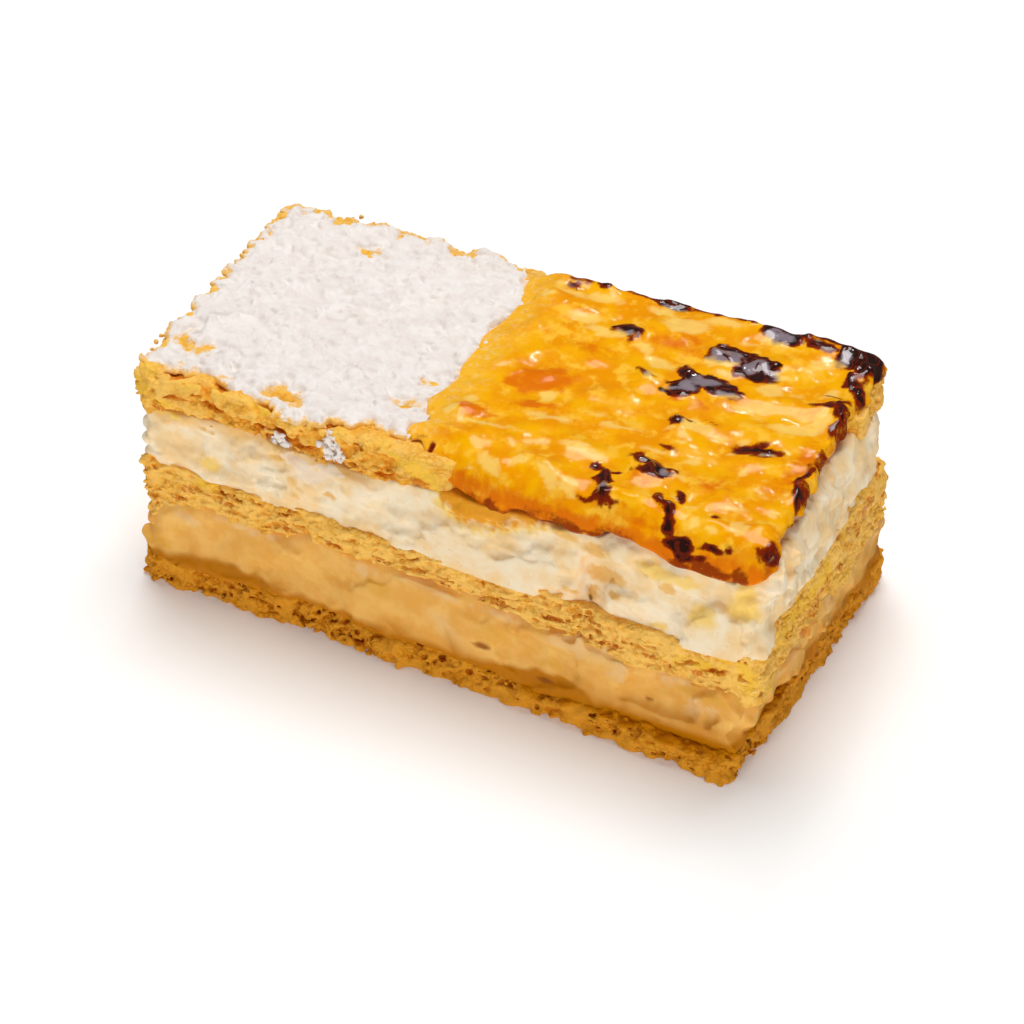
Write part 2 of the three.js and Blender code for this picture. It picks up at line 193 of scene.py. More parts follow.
def level(name, x):
    """Height of a layer's upper side without its unevenness."""
    left, right = LEVELS[name]
    return left + (right - left) * x / LENGTH


def seam(name, x, y):
    """Height of a layer's upper side at each place of the plan."""
    plain = level(name, x)
    front = along(FRONT_SEAMS[name], x)
    depth = smooth(y, *SEAM_REACH)
    seed = sorted(LEVELS).index(name)
    end = END_RISE.get(name, 0) * smooth(x, *END_RISE_REACH)
    inset = np.minimum(np.minimum(x, LENGTH - x), np.minimum(y, WIDTH - y))
    waves = SEAM_SWELL * (1 - smooth(inset, *SWELL_REACH)) * swell(x, y, SWELL_LENGTH, seed)
    return front * (1 - depth) + (plain + end + waves) * depth


def wobble(points, length, seed):
    """Waves of unit height through space, crests about length mm apart."""
    draw = np.random.default_rng(seed)
    total = np.zeros(len(points))
    for _ in range(5):
        way = draw.normal(size=3)
        way *= 2 * np.pi / length * draw.uniform(0.6, 1.6) / np.linalg.norm(way)
        total += np.sin(points @ way + draw.uniform(0, 2 * np.pi))
    return total / 2.5


def as_seen(points):
    """Points on the front as they are seen on the upright sheet."""
    back = points[:, 1] - along(SHEET_Y, points[:, 0])
    return points + back[:, None] * np.array((SIGHT[0], 0, SIGHT[1])) * (points[:, 1] < FRONT_DEPTH)[:, None]


class Block:
    """A box of evenly spaced points round a CAD node. Each array over it tells how far the points lie outside
    a shape, in mm, so that shapes are joined by taking the lesser value and cut by taking the greater."""

    def __init__(self, node, deeper=0):
        self.step, reach, seed = BLOCKS[node]
        self.node = node
        low, high = (on_slice(corner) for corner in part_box(node))
        reach = np.array(reach)
        step = self.step
        self.low = low - reach - (0, 0, deeper)
        self.count = np.ceil((high + reach - self.low) / step).astype(int) + 1
        self.draw = np.random.default_rng(seed)
        lines = [(self.low[a] + step * np.arange(self.count[a])).astype(np.float32) for a in range(3)]
        self.x = lines[0][:, None, None]
        self.y = lines[1][None, :, None]
        self.z = lines[2][None, None, :]
        self.inset = np.minimum(np.minimum(self.x, LENGTH - self.x), np.minimum(self.y, WIDTH - self.y))
        self.rim = 1 - smooth(self.inset, *RIM_REACH)

    def seam(self, name):
        """Height of a layer's upper side over the block."""
        return seam(name, self.x, self.y)

    def solid(self, node, band=4):
        """How far each point lies outside a CAD node, true up to band mm either way."""
        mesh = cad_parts[node].data
        mesh.calc_loop_triangles()
        places = np.empty(3 * len(mesh.vertices), np.float32)
        mesh.vertices.foreach_get("co", places)
        corners = np.empty(3 * len(mesh.loop_triangles), np.int32)
        mesh.loop_triangles.foreach_get("vertices", corners)
        grid = openvdb.FloatGrid.createLevelSetFromPolygons(
            (places.reshape(-1, 3) / MM - CORNER - self.low).astype(np.float32),
            triangles=corners.reshape(-1, 3).astype(np.uint32),
            transform=openvdb.createLinearTransform(voxelSize=self.step),
            halfWidth=band / self.step)
        field = np.empty(self.count, np.float32)
        grid.copyToArray(field)
        return field

    def soften(self, field, spread):
        """Rounds a shape's corners over about spread mm, by three running means along each axis."""
        reach = max(1, round(spread / self.step * 0.87))
        for axis in (0, 1, 2) * 3:
            ends = [(0, 0)] * 3
            ends[axis] = (reach + 1, reach)
            total = np.cumsum(np.pad(field, ends, mode="edge"), axis=axis, dtype=np.float32)
            high = [slice(None)] * 3
            low = [slice(None)] * 3
            high[axis] = slice(2 * reach + 1, None)
            low[axis] = slice(None, -2 * reach - 1)
            field = (total[tuple(high)] - total[tuple(low)]) / (2 * reach + 1)
        return field

    def tall(self, field, rise):
        """The shape with its walls carried on rise mm further up and down."""
        cells = round(rise / self.step)
        return np.minimum(field, np.minimum(
            np.concatenate([field[..., :1].repeat(cells, 2), field[..., :-cells]], 2),
            np.concatenate([field[..., cells:], field[..., -1:].repeat(cells, 2)], 2)))

    def walls(self, node, rounding, rise):
        """A CAD node with rounded corners and with its walls carried on rise mm further up and down."""
        return self.tall(self.soften(self.solid(node), rounding), rise)

    def rumple(self, lumps):
        """Smooth random unevenness of unit height, with lumps of the given size along x, y and z."""
        weights = []
        for axis in range(3):
            places = np.arange(self.count[axis]) * self.step / lumps[axis]
            cells = places.astype(int)
            part = places - cells
            weight = np.zeros((self.count[axis], cells[-1] + 4), np.float32)
            spline = ((1 - part) ** 3, 3 * part ** 3 - 6 * part ** 2 + 4,
                      -3 * part ** 3 + 3 * part ** 2 + 3 * part + 1, part ** 3)
            for shift, share in enumerate(spline):
                weight[np.arange(self.count[axis]), cells + shift] = share / 6
            weights.append(weight)
        field = self.draw.standard_normal([w.shape[1] for w in weights]).astype(np.float32)
        for weight in weights:
            field = np.tensordot(field, weight, (0, 1))
        return field / field.std()

    def relief(self, table):
        """The unevenness that a table gives for the block's node."""
        total = 0
        for height, *lumps in table[self.node]:
            total = total + height * self.rumple(lumps)
        return total

    def wander(self, line, waves):
        """A line of the block's places or heights, bent by waves that are the same all the way up."""
        for height, *lumps in waves:
            line = line + height * self.rumple(lumps)[:, :, :1]
        return line

    def on_walls(self, walls, count, low, high, where=True):
        """Random places on a shape's walls between two heights, and which way the wall faces there."""
        near = (np.abs(walls) < 0.6 * self.step) & (self.z > low) & (self.z < high) & where
        near[[0, -1]] = False
        near[:, [0, -1]] = False
        cells = np.flatnonzero(near)
        i, j, k = np.unravel_index(self.draw.choice(cells, count), near.shape)
        slope_x = walls[i + 1, j, k] - walls[i - 1, j, k]
        slope_y = walls[i, j + 1, k] - walls[i, j - 1, k]
        facing = np.stack([slope_x, slope_y], 1)
        facing /= np.linalg.norm(facing, axis=1, keepdims=True) + 1e-6
        places = self.low + self.step * (np.stack([i, j, k], 1) + self.draw.uniform(-0.5, 0.5, (count, 3)))
        return places, facing

    def on_front(self, field, x, z):
        """The place on a shape's front of a mark at x and z on the upright sheet."""
        y = self.low[1] + self.step * np.arange(self.count[1])
        back = y - along(SHEET_Y, x)
        path = np.stack([x - SIGHT[0] * back, y, z - SIGHT[1] * back], 1)
        cells = np.clip(((path - self.low) / self.step).round().astype(int), 0, self.count - 1)
        return path[np.argmax(field[tuple(cells.T)] < 0)]

    def blobs(self, field, places, facing, sizes, lean=None, cut=False, blend=0.0):
        """Joins egg-shaped lumps to a shape, or cuts them out of it. Sizes are half lengths along the wall,
        out of it and up, and lean is how far each lump is turned in the wall's plane, in radians."""
        if lean is None:
            lean = np.zeros(len(places))
        for place, way, size, turn in zip(places, facing, sizes, lean):
            reach = size.max() + 2 * self.step
            first = np.maximum(0, np.floor((place - reach - self.low) / self.step).astype(int))
            last = np.minimum(self.count, np.ceil((place + reach - self.low) / self.step).astype(int) + 1)
            if (first >= last).any():
                continue
            part = tuple(slice(a, b) for a, b in zip(first, last))
            dx = self.x[part[0]] - place[0]
            dy = self.y[:, part[1]] - place[1]
            dz = self.z[:, :, part[2]] - place[2]
            level_way = dy * way[0] - dx * way[1]
            out = dx * way[0] + dy * way[1]
            up = dz * cos(turn) - level_way * sin(turn)
            aside = level_way * cos(turn) + dz * sin(turn)
            far = np.sqrt((aside / size[0]) ** 2 + (out / size[1]) ** 2 + (up / size[2]) ** 2)
            lump = (far - 1) * size.min()
            if cut:
                field[part] = np.maximum(field[part], -lump)
            elif blend:
                share = np.clip(0.5 + (field[part] - lump) / (2 * blend), 0, 1)
                field[part] = field[part] * (1 - share) + lump * share - blend * share * (1 - share)
            else:
                field[part] = np.minimum(field[part], lump)

    def at(self, field, points):
        """The value of a field at each point."""
        place = np.clip((points - self.low) / self.step, 0, self.count - 1.001)
        cell = place.astype(int)
        part = place - cell
        total = 0
        for corner in np.ndindex(2, 2, 2):
            share = np.prod(np.where(corner, part, 1 - part), axis=1)
            i, j, k = np.minimum((cell + corner).T, np.array(field.shape)[:, None] - 1)
            total = total + share * field[i, j, k]
        return total

    def skin(self, field, merge=0.02, loose=None):
        """The points and faces of a shape's surface, without what hangs loose or is shut up inside it. With
        loose, clumps of at least that many points stay. A greater merge joins more of the flat faces."""
        edge = 3 * self.step
        grid = openvdb.FloatGrid(background=edge)
        padded = np.pad(np.clip(field, -edge, edge), 1, constant_values=edge).astype(np.float32)
        grid.copyFromArray(padded)
        points, triangles, quads = grid.convertToPolygons(isovalue=0.0, adaptivity=merge)
        points = points.astype(float)
        triangles = triangles.astype(int)
        quads = quads.astype(int)
        pairs = [triangles[:, :2], triangles[:, 1:], quads[:, :2], quads[:, 1:3], quads[:, 2:]]
        label = label_clumps(len(points), np.concatenate(pairs))
        sizes = np.bincount(label)
        keep = sizes[label] >= (loose or sizes.max())
        new = np.cumsum(keep) - 1
        faces = []
        for corners in (triangles, quads):
            kept = new[corners[keep[corners[:, 0]]]]
            faces += [face[::-1].tolist() for face in kept]
        points = self.low + (points[keep] - 1) * self.step
        return thin_out(points, faces, MOST_TRIANGLES[self.node])


def label_clumps(count, edges):
    """Numbers points so that all those which edges join have the same number."""
    label = np.arange(count)
    while True:
        least = label.copy()
        np.minimum.at(least, edges[:, 0], label[edges[:, 1]])
        np.minimum.at(least, edges[:, 1], label[edges[:, 0]])
        least = least[least]
        if (least == label).all():
            return label
        label = least


def thin_out(points, faces, most):
    """Merges faces, the flattest first, until there are at most so many triangles."""
    mesh = bpy.data.meshes.new("rough")
    mesh.from_pydata(points.tolist(), [], faces)
    mesh.calc_loop_triangles()
    count = len(mesh.loop_triangles)
    if count > most:
        rough = bpy.data.objects.new("rough", mesh)
        bpy.context.scene.collection.objects.link(rough)
        rough.modifiers.new("Thin", "DECIMATE").ratio = most / count
        thin = rough.evaluated_get(bpy.context.evaluated_depsgraph_get()).data
        places = np.empty(3 * len(thin.vertices), np.float32)
        thin.vertices.foreach_get("co", places)
        points = places.reshape(-1, 3).astype(float)
        faces = [list(face.vertices) for face in thin.polygons]
        bpy.data.objects.remove(rough)
    bpy.data.meshes.remove(mesh)
    return points, faces


def oval(points, x, z, half_x, half_z, front=FRONT_DEPTH, wander=0.25):
    """1 in the middle of a rounded patch on the cut front, falling to 0 at its edge."""
    far = np.hypot((points[:, 0] - x) / half_x, (points[:, 2] - z) / half_z)
    slow = wobble(points, 1.6 * min(half_x, half_z) + 1, int(10 * x))
    quick = wobble(points, 1.1, int(10 * z))
    far += wander * (slow + 0.6 * quick)
    return (1 - smooth(far, 0.55, 1.15)) * (points[:, 1] < front)


def ovals(points, patches, wander=0.25):
    """All the patches of a list together."""
    total = np.zeros(len(points))
    for patch in patches:
        total = np.maximum(total, oval(points, *patch, wander=wander))
    return total


def make_piece(name, node, shape, material):
    """Makes a mesh object of a shape, which is its points and faces and its masks, in place of a CAD node."""
    (points, faces), masks = shape
    mesh = bpy.data.meshes.new(name)
    mesh.from_pydata(((points + CORNER) * MM).tolist(), [], faces)
    mesh.polygons.foreach_set("use_smooth", np.ones(len(faces), bool))
    for mask, values in masks.items():
        layer = mesh.attributes.new(mask, "FLOAT", "POINT")
        layer.data.foreach_set("value", values.astype(np.float32))
    mesh.materials.append(material)
    mesh.update()
    piece = bpy.data.objects.new(name, mesh)
    bpy.context.scene.collection.objects.link(piece)
    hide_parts(node)
    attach(piece, "root")
    return piece


def scatter_sizes(draw, count, low, high, flat=(1, 1, 1)):
    """Random half lengths between low and high, more of them small, made flatter or longer along each way."""
    size = low + (high - low) * draw.uniform(0, 1, count) ** 2
    return size[:, None] * np.array(flat) * draw.uniform(0.75, 1.3, (count, 3))


# ---------------------------------------------------------------- shapes

# Unevenness of each piece, first broad and then fine: (height, lump size along x, y and z).
RELIEF = {
    "base_pastry": ((0.3, 5, 5, 3), (0.3, 1.4, 1.4, 1.0)),
    "custard": ((0.3, 8, 8, 4.5), (0.14, 3, 3, 2.2)),
    "middle_pastry": ((0.2, 6, 6, 2), (0.14, 1.5, 1.5, 0.8)),
    "cream": ((0.5, 6, 6, 3.2), (0.3, 3.4, 3.4, 1.2)),
    "top_pastry": ((0.32, 5, 5, 2.6), (0.2, 1.9, 1.9, 1.2)),
    "burnt_glaze": ((0.5, 4.2, 2.8, 5), (0.35, 2.2, 1.5, 2.4), (0.1, 1.0, 0.8, 1.1)),
    "icing_sugar": ((0.5, 2.4, 1.5, 3), (0.45, 1.0, 0.8, 2), (0.3, 0.5, 0.5, 1)),
}
GRAIN = {
    "base_pastry": ((0.12, 0.8, 0.8, 0.65), (0.07, 0.46, 0.46, 0.4)),
    "middle_pastry": ((0.08, 0.8, 0.8, 0.5), (0.05, 0.46, 0.46, 0.4)),
    "cream": ((0.07, 1.2, 1.2, 0.7), (0.04, 0.6, 0.6, 0.5)),
    "top_pastry": ((0.09, 0.8, 0.8, 0.6), (0.05, 0.5, 0.5, 0.45)),
}
# How the outlines of the two covers wander over the plan, in the same form.
BENDS = {
    "burnt_glaze": ((0.35, 2.2, 2.2, 4), (0.25, 0.8, 0.8, 4)),
    "icing_sugar": ((0.7, 1.6, 1.6, 4), (0.35, 0.6, 0.6, 2)),
}
# How far the crumbs of each sheet stand out from its wall, and then its crumbs, pores and slits: (how many,
# least and greatest half length, how long, deep and tall they are for it). The setting scales the crumbs.
CRUMBLE = {
    "base_pastry": ((-0.3, 0.35), (2600, 0.35, 1.2, (1.05, 0.75, 0.85)),
                    (280, 0.18, 0.42, (1.3, 1.3, 0.9)), (120, 0.7, 1.9, (1.3, 0.5, 0.13))),
    "middle_pastry": ((-0.3, 0.2), (4600, 0.28, 0.9, (1.35, 0.65, 0.65)),
                      (60, 0.16, 0.3, (1.4, 1.0, 0.8)), (150, 0.8, 2.4, (1.4, 0.4, 0.08))),
    "top_pastry": ((-0.35, 0.2), (3000, 0.3, 1.2, (1.25, 0.65, 0.7)),
                   (80, 0.16, 0.32, (1.4, 1.0, 0.8)), (110, 0.8, 2.0, (1.4, 0.4, 0.09))),
}
# A second lot of crumbs fills the gaps: half as many, with this share of their size.
SMALL_CRUMBS = 0.55
# Crumbs that stand out furthest, at the left end.
END_CRUMBS = 110
# Torn bits on the short ends and the back of the soft layers: (how many, least and greatest half length).
TORN_BITS = {"custard": (260, 0.35, 1.1), "cream": (280, 0.4, 1.2)}

# Holes, slits and pits at the cut front: (x, z, half length, depth, half height, lean in degrees).
BASE_HOLES = (
    (31, 2.2, 1.1, 1.8, 0.65, 20), (62.5, 4.2, 0.7, 1.4, 0.8, 60), (44.5, 4.4, 1.2, 0.9, 0.5, 25),
    (41.5, 2, 0.5, 1, 1.6, -20), (20, 4.6, 0.9, 1, 0.5, 0), (11, 1.5, 0.8, 1, 0.5, 20),
    (85, 2.2, 3, 1, 0.28, 2), (95, 1.8, 3.4, 1, 0.3, -3), (77, 1.8, 2.2, 1, 0.28, 4),
    (91, 3.1, 2.4, 0.9, 0.25, 0), (102, 2.6, 2.6, 1, 0.3, 2), (69, 3.6, 1.6, 1, 0.35, -8),
)
MIDDLE_SLITS = (
    (12, 22.2, 2.2, 1, 0.35, -12), (17, 21.6, 2.0, 1, 0.35, 6), (30, 21.6, 2.8, 1.1, 0.32, 2),
    (36, 20.6, 2.6, 1.2, 0.35, -12), (39, 21.8, 2.4, 0.9, 0.25, 14), (46, 20.4, 2.6, 1, 0.3, 4),
    (52, 20.8, 2.6, 1, 0.28, 3), (58, 21.4, 2, 1, 0.3, -10), (64, 20.6, 2, 1, 0.3, 4),
    (69, 20.4, 2.2, 1, 0.3, 5), (77, 21, 3, 1, 0.32, 2), (83.5, 21.6, 1, 1, 0.35, 10),
    (87, 20.3, 1.6, 1, 0.3, -8), (94, 20.8, 2.4, 1, 0.28, 3), (101, 20.6, 2.2, 1.2, 0.35, 22),
    (106, 21, 2.2, 1.3, 0.4, 14), (22, 24, 1.2, 0.8, 0.25, -40), (64.5, 23.4, 0.9, 0.7, 0.22, 10),
    (44.8, 22.8, 1, 0.7, 0.22, 70), (16.5, 24.4, 1.4, 0.7, 0.2, -30),
)
TOP_SLITS = (
    (31.5, 38.8, 3.6, 1.5, 0.5, -4), (24, 40.4, 1.8, 1, 0.35, -14), (8, 40.2, 2.6, 1, 0.4, 6),
    (15, 40.8, 2.2, 1, 0.4, -10), (41, 38.3, 1.2, 1, 0.3, 0), (46.5, 38.2, 1.6, 1, 0.32, 4),
    (12, 42, 2, 0.8, 0.3, 10), (5, 38.4, 1.6, 0.9, 0.35, -5),
)
CUSTARD_PITS = (
    (64.8, 10.4, 1.8, 0.8, 0.95, 0), (24, 10.6, 2.2, 0.25, 0.8, 10), (44.6, 6.1, 1, 0.5, 0.5, 30),
    (94.6, 10.8, 0.7, 0.35, 0.25, 10),
)
CREAM_TEARS = (
    (82.6, 33, 0.22, 1.2, 2.4, -6), (83.6, 29.6, 0.4, 0.8, 2.2, 10), (84.6, 26, 0.9, 2.0, 0.8, 0),
    (86.6, 32.6, 2.8, 0.25, 1.4, 30), (33, 36.6, 4, 0.4, 0.5, 0),
)
# Soft lumps at the cut front: (x, z, half length, half height, lean in degrees).
CUSTARD_LUMPS = (
    (72.7, 8.2, 0.8, 2.7, -8), (89, 14.4, 1.8, 1.9, 0), (82.2, 16.3, 1, 2.7, 10),
    (77.5, 16.8, 1.9, 1.4, 20), (41.5, 17.3, 2.2, 1.4, 15), (45.5, 16, 1.4, 2, 20),
    (44.6, 13.9, 2.4, 1.2, 10), (57, 17.8, 3, 0.8, 0), (68, 18, 3, 0.9, 0), (104, 12, 1.8, 2.4, 30),
    (98, 16, 3.2, 1.2, 8), (107.5, 9, 1.4, 2.6, -30), (30, 13.6, 1.5, 0.9, 0), (58, 12.4, 0.8, 0.35, 0),
    (84.6, 9.8, 0.9, 0.4, 0), (46, 8, 0.4, 0.35, 0), (36.8, 6.9, 0.45, 0.4, 0), (54.6, 6.6, 0.6, 0.5, 0),
    (33, 10.2, 0.35, 0.3, 0), (92, 12.6, 5, 0.5, -3), (80, 12.9, 3, 0.4, 4), (20, 8.7, 4, 0.4, 4),
    (27, 16.6, 2.5, 0.7, -20), (9, 15, 2.2, 0.8, 30), (5, 12, 1.4, 2.2, 0), (101, 13.4, 1.6, 0.8, 30),
    (94.5, 14.6, 1.2, 1.4, 0), (105.6, 15.6, 1.3, 0.8, 40), (103.6, 8.6, 1, 1.4, 10),
    (108.6, 12.6, 0.9, 2, -15), (106.4, 11, 0.8, 1.4, 25), (62.6, 14.8, 1.6, 0.6, 20), (50, 11, 3, 0.6, -8),
    (75, 11.4, 1.2, 2, -10),
)
CREAM_LUMPS = (
    (78, 32.6, 4.6, 2.8, 25), (60, 29, 6, 3, 0), (95, 31, 6, 4, 10), (72, 28.5, 4, 2.4, -15),
    (14, 29.3, 1.9, 1.8, 0), (13.5, 35.4, 1.3, 0.5, -12), (50, 33.6, 5, 1.8, 8), (106, 31, 2.4, 3, 20),
    (89.5, 38.6, 3.4, 1.9, 10), (97, 36.4, 4, 1.6, 5), (64, 31.6, 3, 1.6, -20), (38, 32, 3, 2, 30),
    (30, 34, 2.4, 1.6, -30), (22, 31, 2.4, 1.8, 20), (44, 28.6, 4, 1.4, 10), (6, 30, 2.4, 2.4, 0),
    (103, 27.4, 2, 1.2, 0), (83, 37.4, 3, 1.2, -10), (74, 36.6, 2.6, 1, 0), (110, 35, 1.4, 3, 0),
    (55, 36.4, 2.6, 1, 0), (79, 28.4, 2.4, 0.5, -5), (27, 27.8, 2.6, 0.8, 0), (100, 33.6, 2.2, 1.4, -20),
)
# Lumps on the left end, as seen at the front corner: (x, y, z, half lengths along x, y and z).
LEFT_CUSTARD = ((0.6, 2.2, 8.6, 1.5, 1.4, 1.1), (1.6, 1.4, 7.2, 1.4, 1.2, 1.0), (1.4, 2, 12, 0.9, 1, 0.8))
LEFT_CREAM = (
    (1.6, 2.6, 32.0, 1.2, 1.3, 1.3), (1.2, 2.4, 28.8, 1.3, 1.2, 0.8), (2.2, 2, 26.4, 1.6, 1.2, 1.0),
    (2.6, 2.4, 34.4, 1.3, 1.2, 1.0), (1.9, 6, 30.4, 1, 1, 1.3), (1.7, 12, 33, 1, 1.4, 1.2),
)
LEFT_TOP = (
    (0.9, 2.6, 38.9, 1.9, 1.3, 1.1), (2.0, 2.2, 37.2, 1.3, 1.2, 0.8), (2.0, 8, 40, 1.1, 1.3, 0.9),
    (0.6, 2.4, 41.2, 1.4, 1.3, 0.8), (1.0, 14, 39.4, 1.2, 1.4, 1.0), (1.2, 5.6, 42, 1.3, 1.2, 0.7),
)
# Tinted places on the cut front: (x, z, half length, half height, how far back they reach if it isn't
# FRONT_DEPTH).
CUSTARD_MILK = (
    (42.5, 17.4, 3, 1.5), (56.5, 18, 4, 0.9), (68, 18, 3.6, 1), (78.5, 16.8, 2.6, 1.8), (82, 16.5, 1, 2.6),
    (89, 14.6, 1.9, 1.9), (98, 16.4, 3.4, 1.3), (22, 17.8, 5, 0.9), (9, 15.6, 3, 1.2),
    (103.5, 11.5, 2.2, 3), (57.5, 12.4, 1, 0.4), (84.5, 9.6, 1.4, 0.5),
)
CUSTARD_YOLK = (
    (44.5, 14, 2.8, 1.5), (78, 11.2, 2.4, 1.6), (104.5, 10, 1.6, 2.4), (101, 15.2, 3, 1), (67, 13.5, 3, 2),
    (106, 15, 2.4, 1.4), (3, 8.6, 3, 1.6),
)
# Dark specks; three of them lie in the pits, where the dark colour is painted shade.
CUSTARD_SPECKS_AND_PIT_SHADE = ((44.6, 6, 1.4, 0.9), (94.6, 10.8, 0.7, 0.3), (76, 7.4, 1.6, 0.7), (64.6, 10.2, 1.6, 0.7))
# Darker places on the middle sheet: most lie in its slits, where the dark colour is painted shade; the rest
# are baked darker.
MIDDLE_TOAST_AND_SHADE = (
    (9.5, 22, 1.6, 1.1), (37, 20, 2.6, 0.5), (29, 20.4, 2, 0.6), (45.5, 20.6, 2, 0.5),
    (77.5, 20.8, 2.6, 0.6), (87.5, 19.4, 1.8, 0.8), (103, 19.4, 2, 0.7), (106.4, 21, 1.8, 1),
    (57, 20.4, 2, 0.4), (66, 20, 3, 0.4), (95, 19.6, 2.6, 0.5), (102, 16.6, 2, 0.8),
)
MIDDLE_YOLK = ((108, 24.6, 3, 1.6), (103, 21, 4, 1.4), (13.4, 24.6, 2.2, 1.2), (111, 22, 2, 3, 30))
# Darker places on the top sheet: most lie in its slits, where the dark colour is painted shade; the rest are
# baked darker.
TOP_TOAST_AND_SHADE = (
    (31.5, 38.6, 4, 0.5), (42.5, 38.3, 1.5, 0.4), (46.5, 38, 2, 0.4), (24.5, 40.2, 1.6, 0.4),
    (53, 39, 3, 1.4), (9, 40.6, 2.4, 0.4), (15, 40.6, 1.6, 0.4), (8.5, 45.5, 2, 0.8), (5, 37.4, 3, 0.9),
)
TOP_YOLK = (
    (28, 43.2, 5, 0.9), (1.4, 40.4, 2, 1.6), (24, 43.6, 3, 1), (5, 38, 3, 1), (51.5, 42, 4, 1.6),
    (55, 40.4, 3.4, 2.4),
)
TOP_DUST = ((36.6, 41.6, 2, 2.6), (37, 38.6, 2.2, 2), (27.4, 38, 2.2, 1.2))
CREAM_STAINS = (
    (86.6, 33, 3.4, 2), (84.4, 28.6, 1.2, 3), (88, 29.6, 1.6, 1), (13.5, 35.6, 1.5, 0.6),
    (27, 34.6, 1.6, 0.6), (29.5, 31, 0.9, 0.8), (36.5, 30.3, 1.4, 0.6), (80, 27.8, 2.4, 0.5),
    (97.5, 34.5, 1.8, 1.6), (85, 37.5, 2.6, 1.4), (79, 38.8, 3, 1), (30, 28, 0.8, 0.5),
    (56.6, 30.3, 0.8, 0.4),
)
CREAM_YOLK = (
    (14, 28.6, 2, 1.8), (103.5, 31, 2.6, 3), (110.5, 36, 3, 4.5, 14), (96, 26.4, 1.6, 0.8),
    (99, 36.8, 4, 1.6), (60, 38, 4, 2.6), (6, 37.4, 4, 1.6), (57, 36.6, 1.6, 1), (95, 37.6, 3, 2),
)
# The hole in the fold, painted dark as shade over the crumb at its bottom.
CREAM_HOLE_SHADE = ((84.6, 26, 1.1, 0.9), (84, 27.6, 0.4, 0.8))
CREAM_DUST = ((30, 35.4, 4.4, 1.4), (36.5, 35.6, 3, 1.6), (33, 33, 5, 1.6))


def front_cuts(block, field, cuts):
    """Cuts listed holes and slits into the front of a layer."""
    for x, z, half, depth, height, lean in cuts:
        place = block.on_front(field, x, z)
        size = np.array((half, depth, height))
        block.blobs(field, [place], [FRONT_WAY], [size], [radians(lean)], cut=True)


def front_lumps(block, field, lumps, depth, stands, blend):
    """Joins listed soft lumps to the front of a layer. Each is depth mm thick either way and stands out by
    stands mm."""
    for x, z, half, tall, lean in lumps:
        place = block.on_front(field, x, z) + np.array((0, depth - stands, 0))
        size = np.array((half, depth, tall))
        block.blobs(field, [place], [FRONT_WAY], [size], [radians(lean)], blend=blend)


def left_lumps(block, field, lumps, blend):
    """Joins listed lumps to the left end of a layer."""
    lumps = np.array(lumps)
    block.blobs(field, lumps[:, :3], [FRONT_WAY] * len(lumps), lumps[:, 3:], blend=blend)


def torn_ends(block, field, low, high):
    """Joins crumbs and torn bits to the short ends and the back of a soft layer, between two heights."""
    count, least, most = TORN_BITS[block.node]
    where = (block.x < 2.2) | (block.x > LENGTH - 1.5) | (block.y > WIDTH - 2.2)
    places, facing = block.on_walls(field, count, low, high, where)
    places[:, :2] -= facing * block.draw.uniform(0, 0.5, (count, 1))
    sizes = scatter_sizes(block.draw, count, least, most, (1.1, 1, 0.8))
    block.blobs(field, places, facing, sizes, block.draw.normal(0, 0.5, count), blend=0.25)


def crumble(block, body, walls, low, high, size):
    """Covers a sheet's walls between two heights with crumbs, and cuts pores and slits between them."""
    stands, (count, least, most, shape), *cuts = CRUMBLE[block.node]

    def add_crumbs(number, share):
        places, facing = block.on_walls(walls, number, low, high)
        small = least * size * (0.4 + 0.6 * share)
        sizes = scatter_sizes(block.draw, number, small, most * size * share, shape)
        places[:, :2] += facing * (block.draw.uniform(*stands, (number, 1)) - sizes[:, 1:2])
        block.blobs(body, places, facing, sizes, block.draw.normal(0, 0.35, number), blend=0.06)

    add_crumbs(count, 1)
    for number, small, large, cut_shape in cuts:
        places, facing = block.on_walls(walls, number, low, high)
        places[:, :2] -= facing * block.draw.uniform(0, 0.4, (number, 1))
        sizes = scatter_sizes(block.draw, number, small, large, cut_shape)
        block.blobs(body, places, facing, sizes, block.draw.normal(0, 0.18, number), cut=True)
    add_crumbs(count // 2, SMALL_CRUMBS)
    places, facing = block.on_walls(walls, END_CRUMBS, low, high, block.x < 3.5)
    sizes = scatter_sizes(block.draw, END_CRUMBS, 0.3, 0.95, (0.8, 1.3, 0.7))
    places[:, :2] += facing * block.draw.uniform(-0.3, 0.5, (END_CRUMBS, 1))
    block.blobs(body, places, facing, sizes, block.draw.normal(0, 0.6, END_CRUMBS), blend=0.1)


def shape_base(settings):
    """The bottom sheet: open, nodular crumb that turns to thin leaves towards the right."""
    block = Block("base_pastry")
    x, y, z = block.x, block.y, block.z
    walls = block.walls("base_pastry", rounding=0.5, rise=2.4)
    right_end = LENGTH + 0.6
    walls = np.maximum(walls, x - right_end - 0.6 * smooth(y, 8, 0) - 0.3 * block.rumple((3, 3, 2)))
    top = block.seam("soaked") + 0.3
    body = walls - 0.05 - 0.3 * smooth(x, 66, 84) * smooth(y, 6, 2)
    body -= block.rim * block.relief(RELIEF)
    body = np.maximum(body, z - top)
    crumble(block, body, walls, 0, top, settings.crumb / MM)
    front_cuts(block, body, BASE_HOLES)
    body -= block.rim * block.relief(GRAIN)
    body = np.maximum(body, np.maximum(z - top - 0.7, -z))
    points, faces = block.skin(body)
    points[:, 2] = np.maximum(points[:, 2], 0)
    px, py, pz = points.T
    masks = {
        # Deeper colour where the crumb lies in: partly browning, partly painted shade.
        "hollow": -0.6 * block.at(walls, points),
        "soak": smooth(pz + 0.4 * wobble(points, 4, 1) - seam("soaked", px, py), -0.9, 0.3),
    }
    return (points, faces), masks


